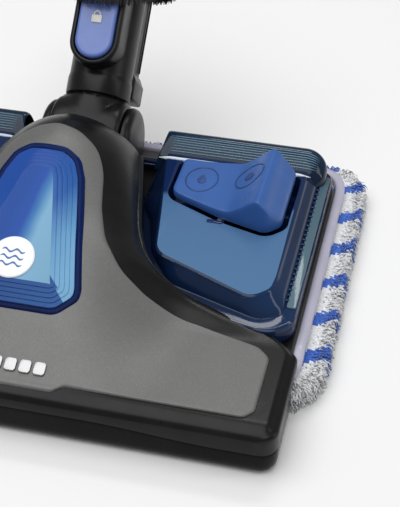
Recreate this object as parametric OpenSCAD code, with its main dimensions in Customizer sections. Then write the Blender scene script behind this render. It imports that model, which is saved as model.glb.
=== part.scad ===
// Floor head of a stick wet and dry cleaner: a suction nozzle, a clip-on water tank with a
// rocker valve, a microfibre mop pad and a tilting, swivelling neck with a short wand stub.

/* [Nozzle] */
// Width of the suction nozzle
nozzle_w = 270; // [256:1:324]
// Depth of the nozzle at its ends
nozzle_d = 58; // [48:1:70]
// Height of the top panel's front edge above the floor
deck_front_z = 25; // [24:0.5:30]
// Rise of the sloping top panel, in degrees
deck_slope = 24.3; // [20:0.1:27]
// Wall of the black housings
housing_wall = 2.2; // [1.8:0.1:3]
// Height of the base plate above the floor
base_clear = 3; // [2:0.5:4]
// Depth of the low part of the base that holds the mouth
mouth_part_d = 36; // [34:1:43]

/* [Dome] */
// Radius of the dome's crown, seen from the side
crown_r = 45; // [40:1:54]
// Place where the sloping panel turns into the crown
crown_start_y = 112; // [108:1:120]
// Place of the dome's rear edge
dome_rear_y = 158; // [152:1:162]
// Half width of the dome at its rear edge
dome_rear_half = 35; // [35:1:42]

/* [Tank] */
// Wall of the water tank
tank_wall = 2; // [1.6:0.1:2.6]
// Height of the tank's flat top
tank_top_z = 36; // [34:0.5:40]
// Height of the ribbed ridge at the tank's rear
ridge_z = 41.5; // [40:0.5:48]
// Rear edge of the tank
tank_rear_y = 195; // [190:1:205]
// Radius of the valve plunger
plunger_r = 3; // [2.5:0.1:3.6]
// Radius of the filler opening
filler_r = 11; // [9:0.1:13.2]

/* [Mop] */
// How far the mop pad stands out past the nozzle on each side
pad_overhang = 13.5; // [10:0.5:16]
// Thickness of the mop pad
pad_t = 11.7; // [10:0.1:11.7]
// Rear edge of the mop pad
pad_rear_y = 224; // [215:1:240]

/* [Neck] */
// Outer radius of the neck tube
tube_r = 16.8; // [16.7:0.1:18.2]
// Lean of the neck from upright when parked on its friction, in degrees
neck_lean = 45.5; // [40:0.5:50]
// Radius of the tilting barrel
barrel_r = 18.5; // [17.5:0.1:19.5]
// Radius of the trunnions that the barrel tilts on
trunnion_r = 6; // [5:0.1:7.2]
// Radius of the stem that the neck swivels on
stem_r = 15.1; // [14.6:0.1:15.2]
// Radius of the bore at the wand's open end
socket_r = 15.1; // [13.5:0.1:15.4]
// Length of the wand stub beyond the neck tube
wand_len = 62; // [52:1:75]

/* [Hidden] */
$fn = 64;

// Named clearances
run_gap = 0.05;
slide_gap = 0.3;
part_gap = 0.5;
body_gap = 1.2;
// A cut runs past a face by this much
over = 1;

half_w = nozzle_w / 2;
parting_z = 12.5;
bumper_t = 2.2;
cover_t = 1.2;
deck_front_y = 8;
slope_run = cos(deck_slope);

// Stack of plates between the floor and the tank
plate_z = pad_t + slide_gap;
plate_t = 2.6;
tray_z = plate_z + plate_t + 0.4;
tray_t = 2;
tray_top = tray_z + tray_t;
tank_z = tray_top + slide_gap;

// Crown arc, tangent to the sloping panel
function deck_z(y) = deck_front_z + (y - deck_front_y) * tan(deck_slope);
crown_cy = crown_start_y + crown_r * sin(deck_slope);
crown_cz = deck_z(crown_start_y) - crown_r * cos(deck_slope);
function crown_z(y) = y < deck_front_y ? edge_z(y)
    : y < crown_start_y ? deck_z(y)
    : crown_cz + sqrt(max(0, crown_r * crown_r - (y - crown_cy) * (y - crown_cy)));

// Half width of the chassis, seen from above, and the height of its edge
flare_half = [84.5, 66, 57, 50, 42];
flare_y = [nozzle_d + 17, nozzle_d + 22, nozzle_d + 30, crown_start_y - 9];
waist_y = crown_start_y + 20;
corner_r = 8;
half_table = [
    [0, half_w - corner_r], [0.15 * corner_r, half_w - 0.5 * corner_r],
    [0.4 * corner_r, half_w - 0.2 * corner_r], [corner_r, half_w], [nozzle_d - 6, half_w], [nozzle_d, half_w - 5], [nozzle_d + 5, half_w - 15],
    [nozzle_d + 11, (half_w - 15 + flare_half[0]) / 2], [flare_y[0], flare_half[0]],
    [flare_y[1], flare_half[1]], [flare_y[2], flare_half[2]], [flare_y[3], flare_half[3]],
    [waist_y, flare_half[4]], [dome_rear_y, dome_rear_half]
];
front_edge_z = deck_front_z - 4.5;
edge_table = [
    [0, front_edge_z], [2, front_edge_z + 2.5], [deck_front_y, deck_front_z], [nozzle_d, deck_front_z],
    [flare_y[0], deck_front_z + 1], [flare_y[1], deck_front_z + 4], [flare_y[2], deck_front_z + 8],
    [flare_y[3], deck_front_z + 11], [waist_y, deck_front_z + 13], [dome_rear_y, deck_front_z + 16]
];
function plan_half(y) = lookup(y, half_table);
function edge_z(y) = lookup(y, edge_table);
function ease(a, b, v) = let (t = max(0, min(1, (v - a) / (b - a)))) t * t * (3 - 2 * t);

// Cross shape of the skin: a flat-topped hump in front, a round dome behind
hump_in = 26;
hump_out = 84;
edge_drop = 3;
function hump(x, y) =
    let (front = 1 - ease(hump_in, hump_out, abs(x)))
    let (u = min(1, abs(x) / plan_half(y)))
    let (dome = pow(1 - pow(u, 1.7), 0.62))
    let (w = ease(nozzle_d - 4, nozzle_d + 38, y))
    front * (1 - w) + dome * w;
function skin_z(x, y) =
    edge_z(y) + (crown_z(y) - edge_z(y)) * hump(x, y)
    - edge_drop * ease(plan_half(y) - 6, plan_half(y), abs(x)) * (1 - ease(nozzle_d, nozzle_d + 8, y));

grid_u = [-1, -0.955, -0.87, -0.76, -0.64, -0.52, -0.4, -0.28, -0.14, 0,
    0.14, 0.28, 0.4, 0.52, 0.64, 0.76, 0.87, 0.955, 1];
function between(a, b, part) = a + (b - a) * part;
grid_y = [0, 2, 0.4 * corner_r, deck_front_y, 30, nozzle_d - 6, nozzle_d, nozzle_d + 5, nozzle_d + 11, flare_y[0],
    flare_y[1], flare_y[2], between(flare_y[2], flare_y[3], 0.5), flare_y[3], crown_start_y,
    crown_start_y + 10, waist_y, between(waist_y, dome_rear_y, 0.35), between(waist_y, dome_rear_y, 0.7),
    dome_rear_y];

// Window, measured along the sloping panel from its front edge
window_pts = [[-29, 33], [29, 33], [40, 43], [40, 47], [19.5, 108], [15.5, 116], [9, 120],
    [-9, 120], [-15.5, 116], [-19.5, 108], [-40, 47], [-40, 43]];
window_step = 2.7;
window_steps = 4;
step_h = 0.5;
lens_t = 2;

// Outline of the satin panel, seen from above, right half
panel_side = half_w - 12;
panel_half = [[panel_side - 4, deck_front_y + 0.5], [panel_side, deck_front_y + 5],
    [panel_side, nozzle_d - 11], [panel_side - 6, nozzle_d - 5.5], [88, nozzle_d + 1.5],
    [61, nozzle_d + 6.5], [48, nozzle_d + 11], [39, nozzle_d + 20], [32, crown_start_y - 15],
    [27, crown_start_y + 5], [21, crown_start_y + 15], [11, crown_start_y + 20.5],
    [0, crown_start_y + 22]];

// Suction mouth
mouth_half = half_w - 17;
mouth_y = [8, 27];
strip_y = 30.5;
lip_y = 34;

// Front rollers
roller_r = 6;
roller_w = 7;
roller_x = half_w - 9;
roller_y = 14;
roller_pin_r = 1.5;

// Neck
pivot = [0, 179, 40];
ear_centre = [180, 34.5];
ear_r = 21.3;
ear_in = tube_r + 2.8;
ear_t = 5;
ear_edge = 2.2;
cap_r = 9;
cap_t = 1.2;
bridge_y = [186, 193];
bridge_top = 21.5;
collar_s = 20;
stem_end = 36;
neck_end = 88;
duct_r = 13.2;
wand_end = neck_end + wand_len;
spigot_start = 60;
shoulder_t = 2;
spigot_r = tube_r - 1.8;
spine_half = 14.8;
spine_p = 24.9;
block_start = 23.6;
block_end = 40;
block_half = 17.4;
block_p = 27.2;

// Lock boss and button on the front of the neck tube
boss_half = 13.4;
boss_centre_s = 45.6;
boss_p = 25.9;
boss_end = 86;
button_half = 10;
button_gap = 0.4;
button_p = 27.5;
button_end = 79;
button_travel = 2;
floor_p = 18.6;

// Sliding dust brush on the wand
ring_in = norm([button_half, button_p]) + part_gap;
ring_out = ring_in + 5;
ring_start = 88;
ring_end = 102;
ring_travel = 30;
bristle_start = 76;

// Tank
tank_half = half_w - 5;
tank_front_y = nozzle_d + 3;
bay_half = dome_rear_half + 3.5;
flange_z = 27;
tank_corner = 10;

// Flow rocker in its well on the right side of the tank
rocker_x = half_w - 53;
rocker_z = tank_top_z + 3;
rocker_rear = 171;
rocker_left = rocker_x - 28;
rocker_right = rocker_x + 31;
rocker_plan = [[rocker_left, rocker_rear], [rocker_left, 142], [rocker_x, 129],
    [rocker_x + 24, 122], [rocker_right, 129], [rocker_right, rocker_rear]];
pin_y = [131, rocker_rear];
pin_z = rocker_z - 6;
well_gap = 2.8;
well_floor = tank_z + 5.2;
rocker_pin_r = 2;
valve_x = rocker_x + 10;
valve_y = 147;
plunger_top = rocker_z - 5.1;
plunger_foot = tank_z + 2.2;
head_t = 2;

// Filler on the left side of the tank
filler_x = -(half_w - 47);
filler_y = 128;
cap_disc_r = filler_r + 3;
cap_z = tank_top_z + 1.2;
cap_disc_t = 4;
hinge_y = filler_y + cap_disc_r + 5;
hinge_z = cap_z + 2;
hinge_pin_r = 1.2;

// Mop
pad_half = half_w + pad_overhang;
pad_front_y = mouth_part_d + part_gap;
pad_corner = 25;
rim_out = half_w + 1.5;
rim_w = 5;
rim_rear_y = pad_rear_y - 11;
rim_front_y = pad_front_y + 2;
rim_top = tray_top;

// The origin is on the floor, under the middle of the whole part
neck_rear_y = pivot[1] + wand_end * sin(neck_lean) + tube_r * cos(neck_lean);
total_y = max(pad_rear_y, neck_rear_y);
module place() {
    translate([0, -total_y / 2, 0]) children();
}

// Neck frame: +Z runs up the neck from the pivot, +Y points to the rear of the tube
module neck_frame() {
    place() translate(pivot) rotate([-neck_lean, 0, 0]) children();
}

module mirror_x() {
    children();
    mirror([1, 0, 0]) children();
}

module block(x, y, z) {
    translate([x[0], y[0], z[0]]) cube([x[1] - x[0], y[1] - y[0], z[1] - z[0]]);
}

module rod(r, z) {
    translate([0, 0, z[0]]) cylinder(r = r, h = z[1] - z[0]);
}

module tube(r_out, r_in, z) {
    difference() {
        rod(r_out, z);
        rod(r_in, [z[0] - over, z[1] + over]);
    }
}

// Flat shape with round corners, drawn with true arcs
module round_rect(x, y, r) {
    translate([x[0] + r, y[0]]) square([x[1] - x[0] - 2 * r, y[1] - y[0]]);
    translate([x[0], y[0] + r]) square([x[1] - x[0], y[1] - y[0] - 2 * r]);
    for (cx = [x[0] + r, x[1] - r]) {
        for (cy = [y[0] + r, y[1] - r]) {
            translate([cx, cy]) circle(r);
        }
    }
}

// A profile in Y and Z, extruded along X
module side_profile(points, x) {
    translate([x[0], 0, 0]) rotate([90, 0, 90]) linear_extrude(x[1] - x[0]) polygon(points);
}

// Solid under the skin: inset draws it in, drop lowers it, bottom is its flat floor
module skin_block(inset, drop, bottom, rear) {
    ny = len(grid_y);
    nu = len(grid_u);
    rows = [for (j = [0:ny - 1]) j < 3 ? grid_y[j] + inset : j == ny - 1 ? rear : grid_y[j]];
    function inner_half(y) = inset == 0 ? plan_half(y)
        : min(plan_half(y) - inset, plan_half(y + inset) - 0.6 * inset);
    top = [for (y = rows) for (u = grid_u)
        let (x = u * inner_half(y))
        [x, y, skin_z(x, min(y, dome_rear_y)) - drop]];
    base = [for (p = top) [p[0], p[1], bottom]];
    n = ny * nu;
    polyhedron(
        points = concat(top, base),
        faces = concat(
            [for (j = [0:ny - 2]) for (i = [0:nu - 2]) each [
                [j * nu + i, (j + 1) * nu + i, (j + 1) * nu + i + 1],
                [j * nu + i, (j + 1) * nu + i + 1, j * nu + i + 1]]],
            [for (j = [0:ny - 2]) for (i = [0:nu - 2]) each [
                [n + j * nu + i, n + (j + 1) * nu + i + 1, n + (j + 1) * nu + i],
                [n + j * nu + i, n + j * nu + i + 1, n + (j + 1) * nu + i + 1]]],
            [for (i = [0:nu - 2]) each [
                [i, i + 1, n + i + 1], [i, n + i + 1, n + i],
                [n - nu + i, 2 * n - nu + i, n - nu + i + 1],
                [n - nu + i + 1, 2 * n - nu + i, 2 * n - nu + i + 1]]],
            [for (j = [0:ny - 2]) each [
                [j * nu, n + j * nu, (j + 1) * nu], [(j + 1) * nu, n + j * nu, n + (j + 1) * nu],
                [j * nu + nu - 1, (j + 1) * nu + nu - 1, n + j * nu + nu - 1],
                [(j + 1) * nu + nu - 1, n + (j + 1) * nu + nu - 1, n + j * nu + nu - 1]]]
        )
    );
}

module chassis_outline() {
    polygon(concat(
        [for (r = half_table) [r[1], r[0]]],
        [for (i = [len(half_table) - 1:-1:0]) [-half_table[i][1], half_table[i][0]]]
    ));
}

// Draws on the sloping panel: flat shapes lie in its plane, z counts up from it
module on_deck(z) {
    translate([0, deck_front_y, deck_front_z]) rotate([deck_slope, 0, 0])
        translate([0, 0, z]) children();
}

module window_shape(inset) {
    offset(delta = -inset) polygon(window_pts);
}

module window_cut(gap) {
    on_deck(-12) linear_extrude(20) window_shape(-gap);
}

// ---- Chassis ----

module lower_housing() {
    wall = housing_wall;
    x_in = half_w - wall - part_gap;
    roller_front = roller_y - roller_r - part_gap;
    color([0.10, 0.10, 0.11]) place() difference() {
        union() {
            translate([0, 0, base_clear]) linear_extrude(parting_z - base_clear) mirror_x()
                polygon([[-over, bumper_t], [half_w - corner_r + 2, bumper_t],
                    [half_w - 0.3 * corner_r, 0.55 * corner_r], [half_w - 1, corner_r + 2],
                    [half_w - 1, mouth_part_d], [-over, mouth_part_d]]);
            block([-half_w + 1, half_w - 1], [mouth_part_d - 4, nozzle_d - 7], [tray_z, tray_top]);
            translate([0, 0, tray_z]) linear_extrude(tray_t)
                round_rect([-tank_half, tank_half], [nozzle_d - 20, tank_rear_y + 3], 9);
            block([-x_in, x_in], [mouth_part_d - wall, mouth_part_d], [base_clear, tray_top]);
        }
        // Hollow of the mouth part, leaving its floor and walls
        block([-x_in, x_in], [roller_front, mouth_part_d - wall], [base_clear + wall, tray_top + over]);
        block([-mouth_half, mouth_half], [bumper_t + wall, roller_front + over],
            [base_clear + wall, tray_top + over]);
        // Suction mouth
        block([-mouth_half, mouth_half], mouth_y, [base_clear - over, base_clear + wall + over]);
        // Pockets for the front rollers
        mirror_x() block([roller_x - roller_w / 2 - part_gap, roller_x + roller_w / 2 + part_gap],
            [roller_y - roller_r - part_gap, roller_y + roller_r + part_gap],
            [base_clear - over, base_clear + wall + over]);
        mirror_x() translate([roller_x, roller_y, roller_r]) rotate([0, 90, 0])
            cylinder(r = roller_pin_r, h = roller_w + 4.8, center = true);
        // Water outlets over the mop and the valve's own outlet
        for (x = felt_x) {
            translate([x, felt_y, tray_z - over]) cylinder(r = felt_r + part_gap, h = tray_t + 2 * over);
        }
        translate([valve_x, valve_y, tray_z - over])
            cylinder(r = plunger_r + 2, h = tray_t + 2 * over);
        // Slot that lets the valve's foot pass when the tank is pulled off
        block([valve_x - plunger_r - 2, valve_x + plunger_r + 2], [valve_y, tank_rear_y + 10],
            [tray_z - over, tray_top + over]);
        // Screw holes
        for (p = screw_places) {
            translate([p[0], p[1], tray_z - over]) cylinder(r = screw_r, h = tray_t + 2 * over);
        }
    }
    // Webs that carry the roller axles
    color([0.10, 0.10, 0.11]) place() mirror_x() difference() {
        for (x = [roller_x - roller_w / 2 - 2.5, roller_x + roller_w / 2 + part_gap]) {
            block([x, x + 2], [roller_y - 3, roller_y + 3], [base_clear + housing_wall, parting_z]);
        }
        translate([roller_x, roller_y, roller_r]) rotate([0, 90, 0])
            cylinder(r = roller_pin_r, h = roller_w + 10, center = true);
    }
}

felt_r = 4;
felt_y = nozzle_d + 30;
felt_x = [-90, 90];
screw_r = 1.6;
screw_places = [for (sx = [-1, 1]) each [[sx * 36, nozzle_d + 20], [sx * 26, 140]]];

// Front strip with a raised middle, as a flat shape: rise lifts its top edge
wave_x = [50, 110];
wave_h = 3.2;
module bumper_shape(rise) {
    wave = [for (i = [0:12])
        let (x = wave_x[0] + i * (wave_x[1] - wave_x[0]) / 12)
        [x, parting_z + rise + wave_h * (1 - ease(wave_x[0], wave_x[1], x))]];
    polygon(concat([[-half_w, base_clear], [half_w, base_clear], [half_w, parting_z + rise]],
        [for (i = [12:-1:0]) wave[i]], [for (w = wave) [-w[0], w[1]]],
        [[-half_w, parting_z + rise]]));
}

module front_bumper() {
    color([0.07, 0.07, 0.08]) place() intersection() {
        translate([0, bumper_t - 0.1, 0]) rotate([90, 0, 0]) linear_extrude(bumper_t - 0.1) bumper_shape(0);
        linear_extrude(parting_z + 10) chassis_outline();
    }
}

module main_housing() {
    wall = housing_wall;
    color([0.09, 0.09, 0.10]) place() difference() {
        skin_block(0, 0, parting_z + 0.1, dome_rear_y);
        skin_block(wall, wall + 0.4, parting_z - over, dome_rear_y + 2);
        window_cut(-1.5);
        on_deck(-0.8 - 0.02) linear_extrude(20) window_shape(-0.15);
        // The front face sits back above the bumper's raised middle
        translate([0, bumper_t, 0]) rotate([90, 0, 0]) linear_extrude(bumper_t + over) bumper_shape(0.1);
        // The rear part stands on the tray
        block([-half_w - over, half_w + over], [mouth_part_d - 4.1, dome_rear_y + over],
            [parting_z - over, tray_top + 0.1]);
        // Room for the yoke's foot and ears
        block([-ear_in - ear_t - part_gap, ear_in + ear_t + part_gap], [dome_rear_y - 9, dome_rear_y + over],
            [tray_top, pivot[2] + 14]);
    }
}

module top_cover() {
    color([0.42, 0.42, 0.43]) place() difference() {
        intersection() {
            translate([0, 0, cover_t]) skin_block(0, 0, parting_z, dome_rear_y);
            translate([0, 0, parting_z]) linear_extrude(80)
                polygon(concat(panel_half, [for (i = [len(panel_half) - 2:-1:0])
                    [-panel_half[i][0], panel_half[i][1]]]));
        }
        translate([0, 0, 0.02]) skin_block(0, 0, parting_z - over, dome_rear_y);
        window_cut(0.2);
    }
}

module window_backing() {
    color([0.05, 0.15, 0.5]) place()
        on_deck(-4.2) linear_extrude(1) window_shape(2.2);
}

module window_lens() {
    color([0.15, 0.4, 0.85, 0.6]) place() {
        on_deck(-0.8) linear_extrude(lens_t) window_shape(0);
        for (i = [1:window_steps]) {
            on_deck(lens_t - 0.8 + (i - 1) * step_h) linear_extrude(step_h)
                window_shape(i * window_step);
        }
    }
}

badge_s = 57;
badge_z = lens_t - 0.8 + window_steps * step_h;
module emblem_badge() {
    color([0.9, 0.93, 0.97]) place() on_deck(badge_z) {
        translate([0, badge_s, 0]) cylinder(r = 11, h = 0.8);
    }
}

module badge_strip() {
    color([0.75, 0.76, 0.78]) place() on_deck(cover_t + 0.1) {
        linear_extrude(0.8) round_rect([-30, 30], [7, 12.5], 2);
    }
}

duct_foot_z = tray_top + 0.3;

// Closed channel from the mouth chamber up to the tilting barrel
module duct_form(grow, reach) {
    hull() {
        block([-40 - grow, 40 + grow], [12 - grow, 28 + grow], [duct_foot_z - reach, duct_foot_z + 1]);
        block([-24 - grow, 24 + grow], [60 - grow, 62], [tray_top + 2 - grow, 31 + grow]);
    }
    hull() {
        block([-24 - grow, 24 + grow], [60 - grow, 62], [tray_top + 2 - grow, 31 + grow]);
        translate([0, dome_rear_y - 2 + reach, 33]) rotate([90, 0, 0])
            cylinder(r = 12 + grow, h = 2 + reach, $fn = 32);
    }
}

module suction_duct() {
    color([0.2, 0.2, 0.22]) place() difference() {
        duct_form(1.4, 0);
        duct_form(0, over);
    }
}

module mouth_lip() {
    color([0.05, 0.05, 0.05]) place()
        block([-mouth_half, mouth_half], [lip_y - 1, lip_y + 0.6], [0.6, base_clear]);
}

module lint_strips() {
    color([0.55, 0.08, 0.1]) place() {
        block([-mouth_half, mouth_half], [strip_y - 1.6, strip_y + 1.2], [1.2, base_clear]);
        block([-mouth_half, mouth_half], [4.2, 7], [1.2, base_clear]);
    }
}

module neck_yoke() {
    p = pivot;
    color([0.08, 0.08, 0.09]) place() {
        block([-ear_in - ear_t, ear_in + ear_t], [dome_rear_y - 8, bridge_y[0] - 2],
            [tray_top, tray_top + 2.4]);
        mirror_x() difference() {
            union() {
                translate([ear_in, ear_centre[0], ear_centre[1]]) rotate([0, 90, 0]) {
                    cylinder(r = ear_r, h = ear_t - ear_edge);
                    translate([0, 0, ear_t - ear_edge])
                        cylinder(r1 = ear_r, r2 = ear_r - 1.5 * ear_edge, h = ear_edge);
                }
                block([ear_in, ear_in + ear_t], [dome_rear_y - 8, p[1]], [tray_top, p[2] + 5]);
            }
            translate([ear_in - over, p[1], p[2]]) rotate([0, 90, 0])
                cylinder(r = trunnion_r + run_gap, h = ear_t + 2 * over);
            block([ear_in - over, ear_in + ear_t + over], [bridge_y[0] - 2, ear_centre[0] + ear_r + over],
                [tray_top - over, bridge_top + 1]);
            block([ear_in - over, ear_in + ear_t + over], [p[1] - ear_r - over, p[1] + ear_r],
                [tray_top - 12, tray_top]);
        }
    }
}

module pivot_caps() {
    x = ear_in + ear_t;
    color([0.06, 0.06, 0.07]) place() mirror_x() translate([x, pivot[1], pivot[2]]) rotate([0, 90, 0])
        cylinder(r1 = cap_r, r2 = cap_r - cap_t, h = cap_t);
}

module roller() {
    translate([0, roller_y, roller_r]) rotate([0, 90, 0]) difference() {
        union() {
            cylinder(r = roller_r, h = roller_w - 2, center = true);
            cylinder(r = roller_r - 0.8, h = roller_w, center = true);
        }
        cylinder(r = roller_pin_r + run_gap, h = roller_w + 2, center = true);
    }
}

module roller_left() {
    color([0.25, 0.25, 0.26]) place() translate([-roller_x, 0, 0]) roller();
}

module roller_right() {
    color([0.25, 0.25, 0.26]) place() translate([roller_x, 0, 0]) roller();
}

module roller_axles() {
    color([0.7, 0.7, 0.72]) place() mirror_x() translate([roller_x, roller_y, roller_r])
        rotate([0, 90, 0]) cylinder(r = roller_pin_r, h = roller_w + 4.8, center = true);
}

module housing_screws() {
    color([0.6, 0.6, 0.62]) place() for (p = screw_places) {
        translate([p[0], p[1], tray_z]) cylinder(r = screw_r, h = tray_t + 6);
        translate([p[0], p[1], tray_top]) cylinder(r = 3, h = 1.6);
    }
}

module water_felts() {
    color([0.8, 0.8, 0.75]) place() for (x = felt_x) {
        translate([x, felt_y, tray_z]) cylinder(r = felt_r, h = tray_t);
    }
}

// ---- Tank ----

module tank_plan(grow) {
    difference() {
        offset(r = grow) round_rect([-tank_half, tank_half], [tank_front_y, tank_rear_y], tank_corner);
        offset(r = body_gap - grow) chassis_outline();
        translate([-bay_half + grow, dome_rear_y - 30])
            square([2 * (bay_half - grow), tank_rear_y - dome_rear_y + 50]);
    }
}

module tank_lower() {
    color([0.12, 0.3, 0.6, 0.6]) place() difference() {
        union() {
            translate([0, 0, tank_z]) linear_extrude(flange_z - tank_z) tank_plan(0);
            block([-bay_half - 3, bay_half + 3], bridge_y, [tank_z, bridge_top]);
        }
        translate([0, 0, tank_z + tank_wall]) linear_extrude(flange_z - tank_z) tank_plan(-tank_wall);
        // Channel that joins the two lobes
        block([-bay_half - 4, bay_half + 4], [bridge_y[0] + 1.5, bridge_y[1] - 1.5],
            [tank_z + 1.2, bridge_top - 1]);
        // Valve outlet
        translate([valve_x, valve_y, tank_z - over])
            cylinder(r = plunger_r + run_gap, h = tank_wall + 2 * over);
    }
}

// Raised top of one lobe: a convex form with leaning sides
lobe_rear = tank_rear_y - 6;
lobe_low = [[bay_half + 7, lobe_rear], [bay_half + 7, crown_start_y + 18],
    [flare_half[3] + 2.5, crown_start_y - 6], [flare_half[1] + 0.5, nozzle_d + 27],
    [tank_half - 17, nozzle_d + 11], [tank_half - 6, nozzle_d + 16], [tank_half - 6, lobe_rear]];
lobe_top = [[bay_half + 10.5, lobe_rear - 4], [bay_half + 10.5, crown_start_y + 24],
    [flare_half[3] + 8.5, crown_start_y - 9], [flare_half[1] + 4, nozzle_d + 34.5],
    [tank_half - 21, nozzle_d + 15.5], [tank_half - 13, nozzle_d + 23],
    [tank_half - 12, nozzle_d + 33], [tank_half - 12, lobe_rear - 4]];
module lobe_form(shrink, top) {
    hull() {
        translate([0, 0, flange_z]) linear_extrude(2) offset(delta = -shrink) polygon(lobe_low);
        translate([0, 0, top - 1]) linear_extrude(1) offset(delta = -shrink) polygon(lobe_top);
    }
}

module ridge_profile(x, t) {
    side_profile([[tank_rear_y - 22 + t, flange_z + 1], [tank_rear_y - 17 + t, tank_top_z - t],
        [tank_rear_y - 6, ridge_z - t], [tank_rear_y - 2.5 - t, ridge_z - 0.6 - t],
        [tank_rear_y - t, ridge_z - 5], [tank_rear_y - t, flange_z + 1]], x);
}

module tank_upper() {
    w = tank_wall;
    ridge_x = [bay_half + 1, tank_half - 3];
    color([0.15, 0.4, 0.75, 0.6]) place() difference() {
        union() {
            difference() {
                union() {
                    translate([0, 0, flange_z]) linear_extrude(w) tank_plan(0);
                    mirror_x() lobe_form(0, tank_top_z);
                    mirror_x() ridge_profile(ridge_x, 0);
                }
                mirror_x() lobe_form(w, tank_top_z - w);
                mirror_x() ridge_profile([ridge_x[0] + w, ridge_x[1] - w], w);
                translate([0, 0, flange_z - over]) linear_extrude(w + over + 0.01)
                    intersection() {
                        tank_plan(-w - 8);
                        translate([-tank_half, nozzle_d + 45]) square([2 * tank_half, 60]);
                    }
            }
            // Walls and floor of the rocker's well
            translate([0, 0, well_floor - w]) linear_extrude(tank_top_z - well_floor + w)
                offset(delta = well_gap + w) polygon(rocker_plan);
        }
        translate([0, 0, well_floor]) linear_extrude(ridge_z) offset(delta = well_gap) polygon(rocker_plan);
        translate([valve_x, valve_y, well_floor - w - over]) cylinder(r = plunger_r + run_gap, h = w + 2 * over);
        pin_rod(rocker_pin_r);
        translate([filler_x, filler_y, flange_z]) cylinder(r = filler_r + 2, h = tank_top_z);
    }
}

module tank_ridge_trim() {
    rise = ridge_z - 0.4 - tank_top_z;
    run = 10;
    color([0.5, 0.65, 0.8]) place() mirror_x() difference() {
        for (i = [0:5]) {
            f = (i + 0.7) / 6.6;
            translate([bay_half + 5, tank_rear_y - 17 + f * run, tank_top_z + f * rise - 0.3])
                cube([tank_half - bay_half - 12, 0.7, 1.2]);
        }
        ridge_profile([bay_half + 1, tank_half - 3], 0);
    }
}

module filler_neck() {
    color([0.2, 0.45, 0.8, 0.7]) place() {
        translate([filler_x, filler_y, 0]) tube(filler_r + 2, filler_r, [tank_top_z - 5, cap_z - 0.2]);
        for (x = [filler_x - 6.5, filler_x + 3.5]) {
            difference() {
                block([x, x + 3], [hinge_y - 2.4, hinge_y + 2.4], [tank_top_z, hinge_z + 2]);
                translate([x - over, hinge_y, hinge_z]) rotate([0, 90, 0]) cylinder(r = hinge_pin_r, h = 5);
            }
        }
    }
}

module valve_seal() {
    color([0.05, 0.05, 0.05]) place() translate([valve_x, valve_y, 0])
        tube(plunger_r + 2, plunger_r + run_gap, [tank_z + tank_wall, tank_z + tank_wall + 1]);
}

module valve_spring() {
    color([0.75, 0.75, 0.78]) place() translate([valve_x, valve_y, 0])
        tube(plunger_r + 1.6, plunger_r + 0.4, [well_floor + 0.1, plunger_top - head_t - 0.1]);
}

// Rod on the rocker's axis, from the front wall of the well to the rear one
module pin_rod(r) {
    reach = well_gap + tank_wall;
    translate([rocker_x, pin_y[0] - reach - 2, pin_z]) rotate([-90, 0, 0])
        cylinder(r = r, h = pin_y[1] - pin_y[0] + 2 * reach + 2);
}

module rocker_pin() {
    color([0.7, 0.7, 0.72]) place() pin_rod(rocker_pin_r);
}

// The rocker seen from the front: a low left pad, a valley and a raised right pad
pad_top = rocker_z + 0.4;
valley_top = rocker_z + 2;
peak_top = rocker_z + 14;
peak_x = rocker_x + 18;
rocker_base = rocker_z - 4;
module flow_rocker() {
    color([0.17, 0.35, 0.68]) place() difference() {
        union() {
            intersection() {
                rotate([90, 0, 0]) translate([0, 0, -rocker_rear]) linear_extrude(60)
                    polygon([[rocker_left, rocker_base], [rocker_left, pad_top - 0.8],
                        [rocker_left + 1, pad_top], [rocker_x, valley_top], [peak_x, peak_top],
                        [peak_x + 2.5, peak_top], [rocker_right, rocker_base + 5],
                        [rocker_right, rocker_base]]);
                translate([0, 0, rocker_base - over]) linear_extrude(40) polygon(rocker_plan);
            }
            translate([rocker_x, pin_y[0], pin_z]) rotate([-90, 0, 0])
                cylinder(r = 4, h = pin_y[1] - pin_y[0]);
        }
        pin_rod(rocker_pin_r + run_gap);
    }
}

module icon_ring(r) {
    difference() {
        circle(r);
        circle(r - 0.9);
    }
    difference() {
        drop_shape(2.6);
        drop_shape(1.9);
    }
}

module drop_shape(r) {
    circle(r);
    polygon([[-r * 0.87, r * 0.5], [r * 0.87, r * 0.5], [0, r * 2]]);
}

// Lays a mark on a pad of the rocker, at this share of the way from valley to pad edge
module on_pad(x1, z1, share, y) {
    slope = atan2(z1 - valley_top, x1 - rocker_x);
    x = between(rocker_x, x1, share);
    z = between(valley_top, z1, share);
    translate([x, y, z]) rotate([0, x1 > rocker_x ? -slope : 180 - slope, 0]) children();
}

module rocker_icons() {
    color([0.25, 0.45, 0.8]) place() {
        on_pad(rocker_left + 1, pad_top, 0.52, 152) linear_extrude(0.4) icon_ring(7);
        on_pad(peak_x, peak_top, 0.52, 152) linear_extrude(0.4) icon_ring(7);
    }
}

module valve_plunger() {
    color([0.85, 0.85, 0.87]) place() translate([valve_x, valve_y, 0]) {
        rod(plunger_r, [plunger_foot, plunger_top]);
        rod(plunger_r + 1.8, [plunger_top - head_t, plunger_top]);
    }
}

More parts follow.
